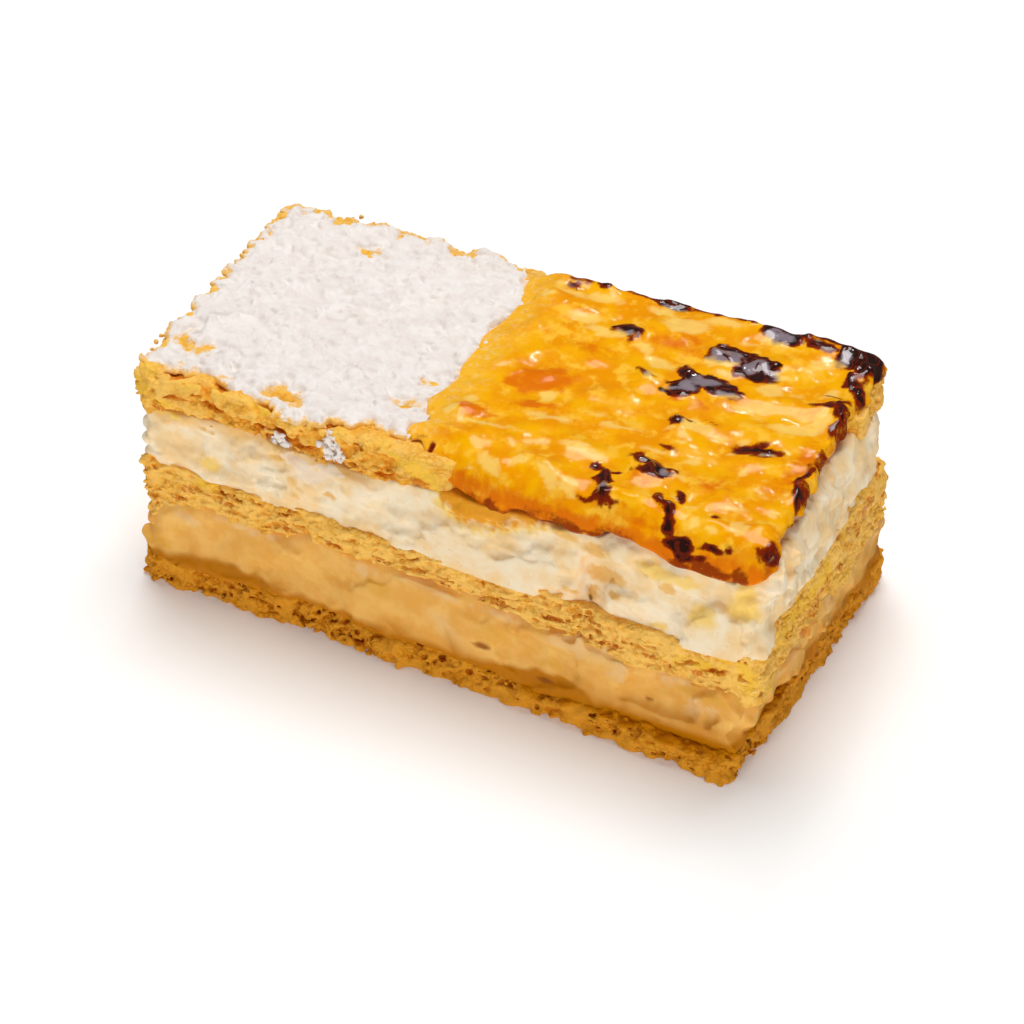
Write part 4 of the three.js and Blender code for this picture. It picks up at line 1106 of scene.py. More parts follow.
def glaze_masks(block, points, bend_x, bend_y):
    """The glaze's masks. The bends tell how far the outlines of its burns stray along x and y."""
    px, py, pz = points.T
    across = unrolled(py, pz)
    cell = (points[:, :2] - block.low[:2]) / block.step
    i, j = np.clip(cell.round().astype(int), 0, block.count[:2] - 1).T
    burnt, rims = burn(px + bend_x[i, j, 0], across + bend_y[i, j, 0])
    wall = smooth(pz, 44.1, 43.3) * smooth(across, 6, 10)
    patchy = smooth(0.5 * wobble(points, 3.4, 16) + wobble(points, 11, 17), -1.1, 1.3)
    burnt = burnt * (1 - wall) + wall * (0.12 + 0.2 * burnt + 0.22 * patchy) * smooth(px, 58, 70)
    rims = rims * (1 - wall * (1 - 0.4 * patchy))
    edge = np.maximum(smooth(py - along(GLAZE_BACK, px), -1.7, -0.8),
                      smooth(px - along(GLAZE_RIGHT, py), -1.6, -0.7))
    heat = swell(px, py, 9, 33) + 0.3 * wobble(points, 2.6, 10)
    edge *= smooth(py, 9, 15) * smooth(px, 52, 54) * smooth(heat, -0.4, 0.3)
    wave = (px + 0.4 * wobble(points, 2.2, 8), across + 0.35 * wobble(points, 2.0, 9))
    sheen = np.zeros(len(points))
    deep = np.zeros(len(points))
    for patch in SHEENS:
        outside = (turned(*wave, patch) - 1) * min(patch[2], patch[3])
        sheen = np.maximum(sheen, 1 - smooth(outside, -0.7, 0.35))
    for patch in DEEP_PLACES:
        deep = np.maximum(deep, 1 - smooth(turned(*wave, patch), 0.3, 1.3))
    deep *= np.where((px < 70) & (across < 35), 1, 0.55)
    red = np.zeros(len(points))
    for x, z, half, tall in BEADS:
        red = np.maximum(red, oval(as_seen(points), x, z, half * 1.4, tall * 1.5, 6, 0.2))
    front_foot = 0.8 * smooth(pz - along(ROLL_FOOT, px), 3.4, 0.2) * (py < 6)
    edge_rim = 0.6 * edge * smooth(wobble(points, 2.4, 14) + wobble(points, 6, 18), 0.1, 1.2)
    return {
        "burnt": np.maximum(burnt, 0.45 * edge),
        "rim": np.maximum(rims * (1 - 0.45 * smooth(across, 18, 12)), edge_rim),
        # The sheen is a painted reflection of the ceiling, only on the top.
        "sheen": sheen * smooth(pz, 42.5, 43.4),
        "deep": np.maximum(deep * (1 - 0.8 * sheen), 0.85 * smooth(pz, 44.3, 41)),
        "red": np.maximum(red, front_foot * smooth(wobble(points, 7, 15), -0.9, 0.6)),
        "young": smooth(px - meeting(py) + 0.8 * wobble(points, 4, 12), 9, 1),
    }


# Places that the sugar leaves bare: (x, y, half length, half width, turn in degrees).
BARE = (
    (3.3, 11.6, 1.5, 1.6, 0), (7.2, 10.2, 2.4, 1.6, 20), (26.4, 5.4, 2.8, 2, 0), (3.6, 3.6, 2.4, 0.9, 0),
    (45.4, 13, 1.5, 0.9, 0), (45.5, 19, 0.6, 0.9, 0), (18.4, 47, 1.5, 0.5, 0), (10, 4.2, 1.4, 0.8, 0),
    (14.5, 5, 1.6, 0.6, 20),
)
# Where powder has dropped down the front: (least x, least z, greatest x, greatest z, clumps).
SPILT = (
    (34.5, 38.6, 38.4, 43, 60), (35, 36.8, 39.4, 39, 40), (25.6, 36.8, 29.2, 39.2, 40),
    (40, 41.8, 44, 43, 5),
)
# Where the sugar starts behind the front edge: (x, y).
SUGAR_FRONT = (
    (-1, 3.6), (2, 4.4), (12, 4.6), (15, 3.4), (22, 3.2), (25, 1.8), (33, 1.4), (35, 4), (40, 5), (47, 5),
    (50, 6),
)


def shape_sugar(settings):
    """Icing sugar: a low, lumpy cake of powder on the left part of the top, a little spilt down the front."""
    block = Block("icing_sugar", deeper=6.5)
    x, y, z = block.x, block.y, block.z
    flat = level("top_pastry", x)
    relief = settings.lumps / MM * block.relief(RELIEF)
    bend_x = block.wander(x, BENDS[block.node])
    bend_y = block.wander(y, BENDS[block.node])
    back = WIDTH - 0.8 - 1.6 * (1 - x / 45)
    edge = np.minimum(np.minimum(bend_y - along(SUGAR_FRONT, bend_x), meeting(y) + 1.2 - bend_x),
                      np.minimum(bend_x - 0.2, back - bend_y))
    cover = edge
    for patch in BARE:
        cover = np.minimum(cover, (turned(bend_x, bend_y, patch) - 1) * min(patch[2], patch[3]))
    thick = settings.thickness / MM * smooth(cover, -0.8, 2.2) + 0.02
    crust = smooth(cover, 0.4, -0.6) * 0.14 * block.rumple((0.7, 0.7, 1.2))
    lumps = (np.maximum(relief, -0.4) - 0.08) * (0.3 + 0.7 * smooth(cover, -0.2, 1))
    body = z - (flat + thick + lumps + crust)
    body = np.maximum(body, -0.8 * edge - 0.6)
    body = np.maximum(body, flat - 0.6 - z)
    wall = block.soften(block.solid("top_pastry"), 0.6) - SHEET_FORWARD
    for low_x, low_z, high_x, high_z, count in SPILT:
        where = (x > low_x) & (x < high_x) & (y < 8)
        places, facing = block.on_walls(wall, count, low_z, high_z, where)
        sizes = scatter_sizes(block.draw, count, 0.2, 0.5, (1.0, 0.8, 0.9))
        leans = block.draw.normal(0, 0.6, count)
        block.blobs(body, places + (0, 0.1, 0), facing, sizes, leans, blend=0.08)
    body = body - 0.05 * block.rumple((0.5, 0.5, 0.5)) * (z < flat - 0.5)
    points, faces = block.skin(body, loose=SUGAR_CLUMP)
    thin = 1 - smooth(block.at(np.broadcast_to(cover, body.shape), points), -0.9, 1.5)
    return (points, faces), {"thin": thin * smooth(points[:, 2], 42, 42.6)}


# ---------------------------------------------------------------- finishes


class Net:
    """A short way to add nodes to a material or a group."""

    def __init__(self, tree):
        self.tree = tree

    def add(self, kind, inputs, output=0, **settings):
        """Adds a node and returns one of its outputs, or all of them where output is None."""
        node = self.tree.nodes.new("ShaderNode" + kind)
        for name, value in settings.items():
            setattr(node, name, value)
        for name, value in inputs.items():
            socket = node.inputs[name]
            if isinstance(value, NodeSocket):
                self.tree.links.new(value, socket)
            else:
                socket.default_value = (*value, 1) if socket.type == "RGBA" else value
        return node.outputs if output is None else node.outputs[output]

    def mix(self, share, first, second):
        return self.add("Mix", {0: share, 6: first, 7: second}, 2, data_type="RGBA")

    def blend(self, share, first, second):
        return self.add("Mix", {0: share, 2: first, 3: second}, 0, data_type="FLOAT")

    def span(self, value, start, end, low=0.0, high=1.0):
        inputs = {0: value, 1: start, 2: end, 3: low, 4: high}
        return self.add("MapRange", inputs, interpolation_type="SMOOTHSTEP")

    def math(self, kind, first, second):
        return self.add("Math", {0: first, 1: second}, operation=kind)

    def mask(self, name):
        return self.add("Attribute", {}, "Fac", attribute_type="GEOMETRY", attribute_name=name)

    def place(self):
        return self.add("TexCoord", {}, "Object")

    def cloud(self, place, scale, detail=3.0, rough=0.5, output="Fac"):
        """Noise over a place, with scale as the noise node has it."""
        inputs = {"Vector": place, "Scale": scale, "Detail": detail, "Roughness": rough}
        return self.add("TexNoise", inputs, output)

    def noise(self, place, size, rough=0.6, stretch=(1, 1, 1)):
        """Noise with grains of size mm, drawn out along x, y and z by stretch."""
        shrunk = self.add("Mapping", {"Vector": place, "Scale": tuple(1 / (size * MM * s) for s in stretch)})
        return self.cloud(shrunk, 1.0, rough=rough)

    def swing(self, noise, strength, middle=0.5):
        """A noise as a change either way from 0."""
        return self.math("MULTIPLY", self.math("SUBTRACT", noise, middle), strength)

    def rough_mask(self, name, noise, strength, middle=0.5):
        """A mask with its edge broken up by a noise."""
        return self.math("ADD", self.mask(name), self.swing(noise, strength, middle))

    def tint(self, colour, name, most, over):
        """A colour covered by another one where a mask says so, up to a share."""
        return self.mix(self.math("MULTIPLY", self.mask(name), most), colour, over)

    def cover(self, colour, *coats):
        """A colour covered by others in turn: (value, its start, where it is full, most, colour)."""
        for value, start, full, most, over in coats:
            colour = self.mix(self.span(value, start, full, 0.0, most), colour, over)
        return colour


def make_group(name, inputs, build):
    """Makes a shader node group once, with named inputs, a colour and a height for a bump."""
    if name in bpy.data.node_groups:
        return bpy.data.node_groups[name]
    group = bpy.data.node_groups.new(name, "ShaderNodeTree")
    for label, value in inputs.items():
        kind = value if isinstance(value, str) else "Float"
        socket = group.interface.new_socket(label, in_out="INPUT", socket_type="NodeSocket" + kind)
        if kind == "Float":
            socket.default_value = value
    for label, kind in (("Color", "NodeSocketColor"), ("Height", "NodeSocketFloat")):
        group.interface.new_socket(label, in_out="OUTPUT", socket_type=kind)
    start = group.nodes.new("NodeGroupInput")
    end = group.nodes.new("NodeGroupOutput")
    for label, socket in build(Net(group), start.outputs).items():
        group.links.new(socket, end.inputs[label])
    return group


def grain_group():
    """Baked crumb, finely cracked, grained: pale where it stands out, deep where it lies in, partly painted
    shade.
    """
    def build(net, given):
        place = given["Place"]
        fine = net.cloud(place, given["Grain"], rough=0.6)
        broad = net.cloud(place, 260.0, 1.0)
        drift = net.cloud(place, 1100.0, 2.0, output="Color")
        flat = net.add("VectorMath", {0: place, 1: (0.6, 0.6, 1.0)}, operation="MULTIPLY")
        bent = net.add("VectorMath", {0: drift, 1: (0.0009,) * 3, 2: flat}, operation="MULTIPLY_ADD")
        cells = {"Vector": bent, "Scale": given["Cells"]}
        gap = net.add("TexVoronoi", cells, "Distance", feature="DISTANCE_TO_EDGE")
        parted = net.span(gap, 0.0, 0.16, 1.0, 0.0)
        # Fine cracks between the crumbs, sunk in the bump and painted deeper: partly painted shade.
        crack_and_shade = net.math("MULTIPLY", parted, net.span(broad, 0.35, 0.6, 0.15, 0.75))
        fleck = net.math("ADD", net.swing(fine, 1.3), net.swing(broad, 0.7))
        depth = net.math("ADD", net.math("ADD", given["Hollow"], fleck), net.math("MULTIPLY", crack_and_shade, 0.45))
        colour = net.mix(net.span(depth, 0.0, 0.55), given["Pale"], given["Body"])
        colour = net.mix(net.span(depth, 0.5, 1.15), colour, given["Deep"])
        return {"Color": colour, "Height": net.math("SUBTRACT", fine, net.math("MULTIPLY", crack_and_shade, 0.5))}

    return make_group("Baked Grain", {
        "Place": "Vector", "Grain": 1500.0, "Cells": 900.0, "Hollow": 0.0,
        "Pale": "Color", "Body": "Color", "Deep": "Color"}, build)


def mottle_group():
    """Slow change between two colours, with a fine height for a bump."""
    def build(net, given):
        place = given["Place"]
        slow = net.cloud(place, given["Patches"], rough=0.6)
        fine = net.cloud(place, given["Grain"])
        colour = net.mix(net.span(slow, 0.35, 0.65), given["First"], given["Second"])
        return {"Color": colour, "Height": net.blend(0.4, fine, slow)}

    return make_group("Soft Mottle", {
        "Place": "Vector", "Patches": 250.0, "Grain": 1500.0, "First": "Color", "Second": "Color"}, build)


def add_mottle(net, place, patches, grain, first, second):
    """Places the mottle in a material, with its two noises' scales and its two colours."""
    return net.add("Group", {
        "Place": place, "Patches": patches, "Grain": grain, "First": first, "Second": second},
        None, node_tree=mottle_group())


def start_finish(name, **plain):
    """A new material, its nodes and its shader, with the values that are the same all over."""
    material = bpy.data.materials.new(name)
    material.use_nodes = True
    shader = material.node_tree.nodes["Principled BSDF"]
    for socket, value in plain.items():
        shader.inputs[socket.replace("_", " ")].default_value = value
    return material, Net(material.node_tree), shader


def end_finish(net, shader, colour, height, depth, **more):
    """Feeds a colour and more values to the shader, with fine relief of about depth mm in the shading."""
    bump = net.add("Bump", {"Height": height, "Strength": 1.0, "Distance": depth * MM}, "Normal")
    for socket, value in {"Base_Color": colour, "Normal": bump, **more}.items():
        net.tree.links.new(value, shader.inputs[socket.replace("_", " ")])


def crumb_finish(name, settings, soaked=None):
    """Baked crumb, custard-soaked or toasted with painted shade in slits, wet with yolk and sugar-dusted in
    places.
    """
    material, net, shader = start_finish(name, Roughness=0.8, Specular_IOR_Level=0.15)
    grain = net.add("Group", {
        "Place": net.place(), "Grain": 1 / settings.grain, "Cells": 0.8 / settings.crumb,
        "Hollow": net.span(net.mask("hollow"), -0.2, 1.6),
        "Pale": settings.pale, "Body": settings.body, "Deep": settings.deep}, None, node_tree=grain_group())
    colour, height = grain["Color"], grain["Height"]
    if soaked:
        colour = net.mix(net.mask("soak"), colour, soaked)
    else:
        colour = net.tint(colour, "yolk", 0.75, settings.yolk)
        # Darker crumb: painted shade in the slits and baked colour elsewhere.
        toast = net.rough_mask("toast", height, 1.6, 0.4)
        dust = net.rough_mask("dust", height, 0.9)
        colour = net.cover(
            colour, (toast, 0.4, 1.1, 0.8, settings.toast), (dust, 0.45, 0.65, 1.0, settings.dust))
    end_finish(net, shader, colour, height, 0.25)
    return material


def custard_finish(settings):
    """Custard with milky and yellow smears, dark specks with painted shade in its pits, and the soaked band.
    """
    material, net, shader = start_finish(
        "Custard", Specular_IOR_Level=0.4,
        Subsurface_Weight=0.5, Subsurface_Scale=0.0012, Subsurface_Radius=(1.0, 0.7, 0.45))
    mottle = add_mottle(net, net.place(), 230.0, 1800.0, settings.colour, settings.shade)
    colour = net.tint(mottle["Color"], "milk", 0.5, settings.milk)
    colour = net.tint(colour, "yolk", 0.6, settings.yolk)
    colour = net.mix(net.mask("soak"), colour, settings.soaked_colour)
    # Dark specks, with painted shade in the pits.
    colour = net.tint(colour, "spot", 0.75, settings.spot)
    end_finish(net, shader, colour, mottle["Height"], 0.1, Roughness=net.blend(net.mask("soak"), 0.42, 0.3))
    return material


def cream_finish(settings):
    """Whipped cream with tan smears, yellow stains, a wash of glaze with bubbles, and sugar dust."""
    material, net, shader = start_finish(
        "Whipped Cream", Specular_IOR_Level=0.3,
        Subsurface_Weight=0.35, Subsurface_Scale=0.0008, Subsurface_Radius=(1.0, 0.95, 0.85))
    place = net.place()
    mottle = add_mottle(net, place, 170.0, 1300.0, settings.colour, settings.shade)
    specks = net.span(net.noise(place, 0.8, rough=0.5), 0.62, 0.72)
    colour = net.mix(net.math("MULTIPLY", specks, 0.3), mottle["Color"], settings.stain)
    colour = net.tint(colour, "stain", 0.9, settings.stain)
    colour = net.tint(colour, "yolk", 0.75, settings.yolk)
    wash = net.mask("wash")
    colour = net.cover(colour, (wash, 0.0, 0.45, 0.8, settings.yolk), (wash, 0.3, 0.9, 0.9, settings.wash))
    colour = net.tint(colour, "foam", 0.5, settings.foam)
    powder = net.rough_mask("dust", mottle["Height"], 0.9)
    colour = net.cover(colour, (powder, 0.4, 0.7, 0.6, settings.dust))
    # Painted shade in the hole.
    colour = net.tint(colour, "hole", 0.85, settings.hole)
    end_finish(net, shader, colour, mottle["Height"], 0.18, Roughness=net.blend(wash, 0.6, 0.18))
    return material


def glaze_finish(settings):
    """Burnt yolk glaze: amber and deep orange, red round the burns, black on them, painted grey where they
    shine.
    """
    material, net, shader = start_finish("Burnt Yolk", Specular_IOR_Level=0.2, Coat_Roughness=0.05)
    place = net.place()
    mottle = add_mottle(net, place, 190.0, 1100.0, settings.colour, settings.amber)
    colour = net.mix(net.span(net.noise(place, 3.4), 0.5, 0.68), mottle["Color"], settings.young)
    young = net.mix(net.span(net.noise(place, 1.1), 0.5, 0.66), settings.young, settings.crumb)
    colour = net.tint(colour, "young", 0.75, young)
    streaks = net.noise(place, 2.0, stretch=(1.0, 1.0, 1.6))
    flecks = net.noise(place, 1.2, rough=0.5)
    grains = net.noise(place, 0.8)
    burnt = net.rough_mask("burnt", grains, 0.55)
    colour = net.cover(
        colour,
        (net.rough_mask("deep", streaks, 1.8), 0.1, 0.9, 0.95, settings.deep),
        (net.rough_mask("red", grains, 1.2), 0.2, 0.95, 0.85, settings.red),
        (flecks, 0.7, 0.76, 0.45, settings.deep),
        (burnt, 0.12, 0.5, 1.0, settings.red))
    charred = net.span(burnt, 0.5, 1.0)
    colour = net.mix(charred, colour, settings.char)
    # Painted reflection of the ceiling: pale over the glaze, grey over the char.
    sheen = net.rough_mask("sheen", grains, 0.6)
    mirrored = net.mix(charred, settings.pale, settings.char_reflection)
    shine = net.blend(charred, net.span(sheen, 0.2, 1.0, 0.0, 0.58), net.span(sheen, 0.45, 1.1, 0.0, 0.45))
    colour = net.mix(shine, colour, mirrored)
    rim = net.rough_mask("rim", grains, 0.8)
    colour = net.cover(colour, (rim, 0.1, 0.5, 0.7, settings.red), (rim, 0.35, 0.85, 0.95, settings.char))
    end_finish(net, shader, colour, mottle["Height"], 0.05,
               Roughness=net.blend(charred, 0.12, 0.14), Coat_Weight=net.blend(charred, 0.1, 1.0))
    return material


def sugar_finish(settings):
    """Icing sugar that lets the crust show where it is thin."""
    material, net, shader = start_finish("Icing Sugar", Roughness=0.95, Specular_IOR_Level=0.1)
    place = net.place()
    mottle = add_mottle(net, place, 400.0, 2600.0, settings.colour, settings.shade)
    thin = net.rough_mask("thin", net.noise(place, 0.5, rough=0.7), 1.5)
    colour = net.cover(mottle["Color"], (thin, 0.3, 1.0, 1.0, settings.thin))
    end_finish(net, shader, colour, mottle["Height"], 0.2)
    return material


# ---------------------------------------------------------------- settings, operators and panel


def colour_property(name, description, value):
    return FloatVectorProperty(
        name=name, description=description, subtype="COLOR", size=3, min=0, max=1, default=value)


def length_property(name, description, value):
    return FloatProperty(name=name, description=description, unit="LENGTH", min=0, default=value, precision=5)


def power_property(name, description, value):
    return FloatProperty(name=name, description=description, min=0, default=value)


class MILLE_PG_base(PropertyGroup):
    """Sizes and colours of the bottom sheet"""
    crumb: length_property("Crumb", "Half length of an ordinary crumb", 0.0009)
    grain: length_property("Grain", "Size of the grain on the crumbs", 0.0006)
    pale: colour_property("Pale", "Crumbs that stand out", tone(224, 152, 40))
    body: colour_property("Body", "Ordinary crumb", tone(202, 124, 8))
    # Deep is laid where the crumb lies in: partly browning, partly painted shade.
    deep: colour_property("Deep", "Crumb down in the pores", tone(162, 86, 4))


class MILLE_PG_sheet(PropertyGroup):
    """Sizes and colours of the middle sheet and the top sheet"""
    crumb: length_property("Crumb", "Half length of an ordinary crumb", 0.0008)
    grain: length_property("Grain", "Size of the grain on the crumbs", 0.0006)
    pale: colour_property("Pale", "Crumbs that stand out", tone(250, 198, 98))
    body: colour_property("Body", "Ordinary crumb", tone(242, 174, 60))
    # Deep is laid where the crumb lies in: partly browning, partly painted shade.
    deep: colour_property("Deep", "Crumb down in the pores", tone(216, 122, 20))
    yolk: colour_property("Yolk", "Places wet with yolk", tone(250, 196, 60))
    # Toast also paints the shade in the slits.
    toast: colour_property("Toast and Shade", "Places baked darker", tone(206, 100, 12))
    dust: colour_property("Dust", "Sugar dusted over the crumb", tone(246, 234, 220))


class MILLE_PG_custard(PropertyGroup):
    """Sizes and colours of the custard"""
    fade: length_property("Fade", "Height over which the soaked band fades out", 0.0006)
    colour: colour_property("Colour", "Custard", tone(246, 192, 100))
    shade: colour_property("Shade", "Deeper patches of custard", tone(238, 174, 76))
    soaked_colour: colour_property("Soaked", "The soaked band", tone(200, 124, 1))
    milk: colour_property("Milk", "Pale, milky smears", tone(236, 200, 150))
    yolk: colour_property("Yolk", "Yellow smears", tone(232, 172, 60))
    # Also paints the shade in the pits.
    spot: colour_property("Specks and Pit Shade", "Dark specks", tone(150, 72, 14))


class MILLE_PG_cream(PropertyGroup):
    """Sizes and colours of the whipped cream"""
    tear: length_property("Tear", "Depth of the unevenness that the knife left", 0.00045)
    colour: colour_property("Colour", "Cream", tone(252, 232, 200))
    shade: colour_property("Shade", "Yellower patches of cream", tone(250, 212, 154))
    stain: colour_property("Stain", "Tan smears of crumb", tone(236, 184, 98))
    yolk: colour_property("Yolk", "Yellow stains", tone(255, 208, 92))
    # Painted shade over the crumb in the hole.
    hole: colour_property("Hole Shade", "Crumb down in the hole", tone(96, 54, 16))
    wash: colour_property("Wash", "Thin wash of glaze that ran down over the cream", tone(232, 152, 14))
    foam: colour_property("Foam", "Bubbles in the wash", tone(250, 226, 184))
    dust: colour_property("Dust", "Sugar dusted over the cream", tone(244, 226, 208))


class MILLE_PG_glaze(PropertyGroup):
    """Sizes and colours of the burnt yolk glaze"""
    thickness: length_property("Thickness", "Thickness of the glaze", 0.0009)
    ripple: length_property("Ripple", "Height of its ripples", 0.0003)
    colour: colour_property("Colour", "Glaze", tone(250, 178, 2))
    amber: colour_property("Amber", "Darker patches of glaze", tone(242, 152, 1))
    young: colour_property("Young", "Thin glaze beside the sugar", tone(254, 192, 54))
    crumb: colour_property("Crumb", "Crumb that shows through the thin glaze", tone(252, 208, 124))
    # Painted reflection of the ceiling over the glaze.
    pale: colour_property("Pale", "Glaze that mirrors the ceiling", tone(254, 220, 124))
    deep: colour_property("Deep", "Thick orange places", tone(228, 114, 2))
    red: colour_property("Red", "Caramel at the edge of a burn", tone(130, 36, 4))
    char: colour_property("Char", "Charred glaze", tone(40, 15, 10))
    # Painted reflection of the ceiling over the char, grey.
    char_reflection: colour_property("Char Reflection", "Grey middle of a large burn", tone(200, 184, 196))


class MILLE_PG_sugar(PropertyGroup):
    """Sizes and colours of the icing sugar"""
    thickness: length_property("Thickness", "Thickness of the powder", 0.0009)
    lumps: length_property("Lumps", "Height of its lumps", 0.00046)
    colour: colour_property("Colour", "Sugar", tone(243, 236, 230))
    shade: colour_property("Shade", "Greyer patches of sugar", tone(237, 227, 220))
    thin: colour_property("Thin", "Crust that shows where the sugar is thin", tone(240, 186, 88))


class MILLE_PG_stage(PropertyGroup):
    """Light, floor and camera"""
    floor: colour_property("Floor", "Colour of the floor", (0.92, 0.92, 0.92))
    glow: power_property("Glow", "How brightly the light table under the slice shines", 0.115)
    sky: power_property("Sky", "Strength of the light from all round", 0.06)
    spark: power_property("Spark", "Power of the small light that makes sparkles (W)", 0.4)
    ceiling: power_property("Ceiling", "Power of the wide light overhead (W)", 13.2)
    key: power_property("Key", "Power of the wide light at the back left (W)", 3.0)
    front: power_property("Front", "Power of the low light in front (W)", 5.9)
    left: power_property("Left", "Power of the low light at the front left (W)", 2.4)
    right: power_property("Right", "Power of the low light at the front right (W)", 5.7)


class MILLE_OT_base(Operator):
    """Makes the bottom sheet"""
    bl_idname = "mille.base"
    bl_label = "Base Pastry"

    def execute(self, context):
        settings = context.scene.mille_base
        finish = crumb_finish("Base Crumb", settings, context.scene.mille_custard.soaked_colour)
        make_piece("bottom_sheet", "base_pastry", shape_base(settings), finish)
        return {"FINISHED"}


class MILLE_OT_custard(Operator):
    """Makes the custard"""
    bl_idname = "mille.custard"
    bl_label = "Custard"

    def execute(self, context):
        settings = context.scene.mille_custard
        make_piece("custard_layer", "custard", shape_custard(settings), custard_finish(settings))
        return {"FINISHED"}


class MILLE_OT_sheets(Operator):
    """Makes the middle sheet and the top sheet"""
    bl_idname = "mille.sheets"
    bl_label = "Middle and Top Pastry"

    def execute(self, context):
        settings = context.scene.mille_sheet
        finish = crumb_finish("Pastry Crumb", settings)
        make_piece("middle_sheet", "middle_pastry", shape_middle(settings), finish)
        make_piece("top_sheet", "top_pastry", shape_top(settings), finish)
        return {"FINISHED"}


class MILLE_OT_cream(Operator):
    """Makes the whipped cream"""
    bl_idname = "mille.cream"
    bl_label = "Whipped Cream"

    def execute(self, context):
        settings = context.scene.mille_cream
        make_piece("cream_layer", "cream", shape_cream(settings), cream_finish(settings))
        return {"FINISHED"}


class MILLE_OT_glaze(Operator):
    """Makes the burnt yolk glaze"""
    bl_idname = "mille.glaze"
    bl_label = "Burnt Glaze"

    def execute(self, context):
        settings = context.scene.mille_glaze
        make_piece("glaze_skin", "burnt_glaze", shape_glaze(settings), glaze_finish(settings))
        return {"FINISHED"}


class MILLE_OT_sugar(Operator):
    """Makes the icing sugar"""
    bl_idname = "mille.sugar"
    bl_label = "Icing Sugar"

    def execute(self, context):
        settings = context.scene.mille_sugar
        make_piece("sugar_cover", "icing_sugar", shape_sugar(settings), sugar_finish(settings))
        return {"FINISHED"}


# The camera: how far it is turned round the slice and raised, its distance in mm and the place it looks at.
CAMERA_TURN = radians(27.16)
CAMERA_RISE = radians(38.54)
CAMERA_FAR = 750
CAMERA_AIM = (59.6, 19.8, 21.7)
LENS = 161.3
SENSOR = 36
# Half the floor's side, in metres.
FLOOR_HALF = 3.0
# The lights, with the names of their power settings: (degrees round the slice from the front, degrees up,
# distance, width and height in metres, whether glossy things mirror it).
LIGHTS = {
    "spark": (197, 49, 1.2, 0.05, 0.05, True),
    "ceiling": (190, 75, 1.3, 0.8, 0.8, True),
    "key": (222, 56, 1.3, 0.7, 0.7, False),
    "front": (10, 12, 1.5, 1.4, 0.5, False),
    "left": (-30, 15, 1.5, 1.2, 0.5, False),
    "right": (60, 15, 1.5, 1.0, 0.5, False),
}


def direction(turn, rise):
    """The way from the slice towards a place turned round it from the front and raised above the table."""
    return Vector((sin(turn) * cos(rise), -cos(turn) * cos(rise), sin(rise)))


def add_window(name, power, aim):
    """Adds a soft rectangular light that faces the slice."""
    turn, rise, distance, width, height, mirrored = LIGHTS[name]
    light = bpy.data.lights.new(name, "AREA")
    light.shape = "RECTANGLE"
    light.size = width
    light.size_y = height
    light.energy = power
    lamp = bpy.data.objects.new(name, light)
    way = direction(radians(turn), radians(rise))
    lamp.location = aim + way * distance
    lamp.rotation_euler = way.to_track_quat("Z", "Y").to_euler()
    lamp.visible_glossy = mirrored
    bpy.context.scene.collection.objects.link(lamp)


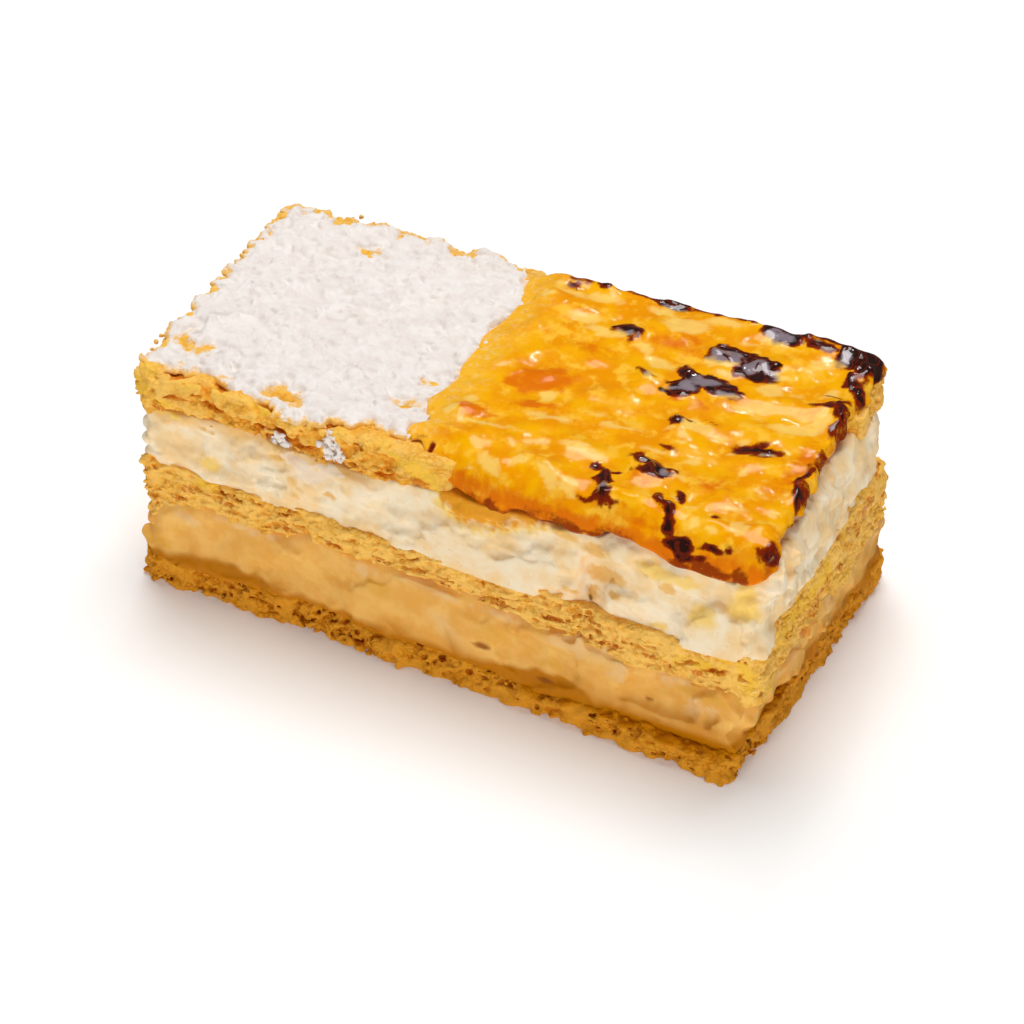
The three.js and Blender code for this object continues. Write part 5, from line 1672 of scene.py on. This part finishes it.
class MILLE_OT_stage(Operator):
    """Makes the floor, the lights and the camera"""
    bl_idname = "mille.stage"
    bl_label = "Stage"

    def execute(self, context):
        settings = context.scene.mille_stage
        scene = context.scene
        mesh = bpy.data.meshes.new("floor")
        corners = [(x * FLOOR_HALF, y * FLOOR_HALF, 0) for x, y in ((-1, -1), (1, -1), (1, 1), (-1, 1))]
        mesh.from_pydata(corners, [], [(0, 1, 2, 3)])
        floor = bpy.data.objects.new("floor", mesh)
        scene.collection.objects.link(floor)
        material, *_ = start_finish(
            "Floor", Roughness=0.9, Specular_IOR_Level=0.0, Base_Color=(*settings.floor, 1),
            Emission_Color=(1, 1, 1, 1), Emission_Strength=settings.glow)
        mesh.materials.append(material)
        floor.visible_glossy = False

        world = bpy.data.worlds.new("Studio")
        world.use_nodes = True
        shade = world.node_tree.nodes["Background"]
        shade.inputs["Color"].default_value = (1, 1, 1, 1)
        shade.inputs["Strength"].default_value = settings.sky
        scene.world = world
        scene.view_settings.view_transform = "Standard"

        aim = Vector((CORNER + np.array(CAMERA_AIM)) * MM)
        for name in LIGHTS:
            add_window(name, getattr(settings, name), aim)

        lens = bpy.data.cameras.new("camera")
        lens.lens = LENS
        lens.sensor_width = SENSOR
        lens.clip_start = 0.05
        camera = bpy.data.objects.new("camera", lens)
        way = direction(CAMERA_TURN, CAMERA_RISE)
        camera.location = aim + way * CAMERA_FAR * MM
        camera.rotation_euler = (-way).to_track_quat("-Z", "Y").to_euler()
        scene.collection.objects.link(camera)
        scene.camera = camera
        return {"FINISHED"}


PIECES = (
    MILLE_OT_base, MILLE_OT_custard, MILLE_OT_sheets, MILLE_OT_cream, MILLE_OT_glaze, MILLE_OT_sugar,
    MILLE_OT_stage,
)
SETTINGS = {
    "mille_base": MILLE_PG_base, "mille_sheet": MILLE_PG_sheet, "mille_custard": MILLE_PG_custard,
    "mille_cream": MILLE_PG_cream, "mille_glaze": MILLE_PG_glaze, "mille_sugar": MILLE_PG_sugar,
    "mille_stage": MILLE_PG_stage,
}


class MILLE_PT_panel(Panel):
    """The pieces of the slice and their settings"""
    bl_label = "Mille Feuille"
    bl_idname = "MILLE_PT_panel"
    bl_space_type = "VIEW_3D"
    bl_region_type = "UI"
    bl_category = "Mille Feuille"

    def draw(self, context):
        for piece in PIECES:
            self.layout.operator(piece.bl_idname)
        for name, group in SETTINGS.items():
            box = self.layout.box()
            box.label(text=group.__doc__)
            for field in group.__annotations__:
                box.prop(getattr(context.scene, name), field)


CLASSES = (*SETTINGS.values(), *PIECES, MILLE_PT_panel)


def register():
    for kind in CLASSES:
        bpy.utils.register_class(kind)
    for name, group in SETTINGS.items():
        setattr(bpy.types.Scene, name, PointerProperty(type=group))


def unregister():
    for name in SETTINGS:
        delattr(bpy.types.Scene, name)
    for kind in reversed(CLASSES):
        bpy.utils.unregister_class(kind)


def main():
    register()
    for piece in PIECES:
        family, name = piece.bl_idname.split(".")
        getattr(getattr(bpy.ops, family), name)()


if __name__ == "__main__":
    main()
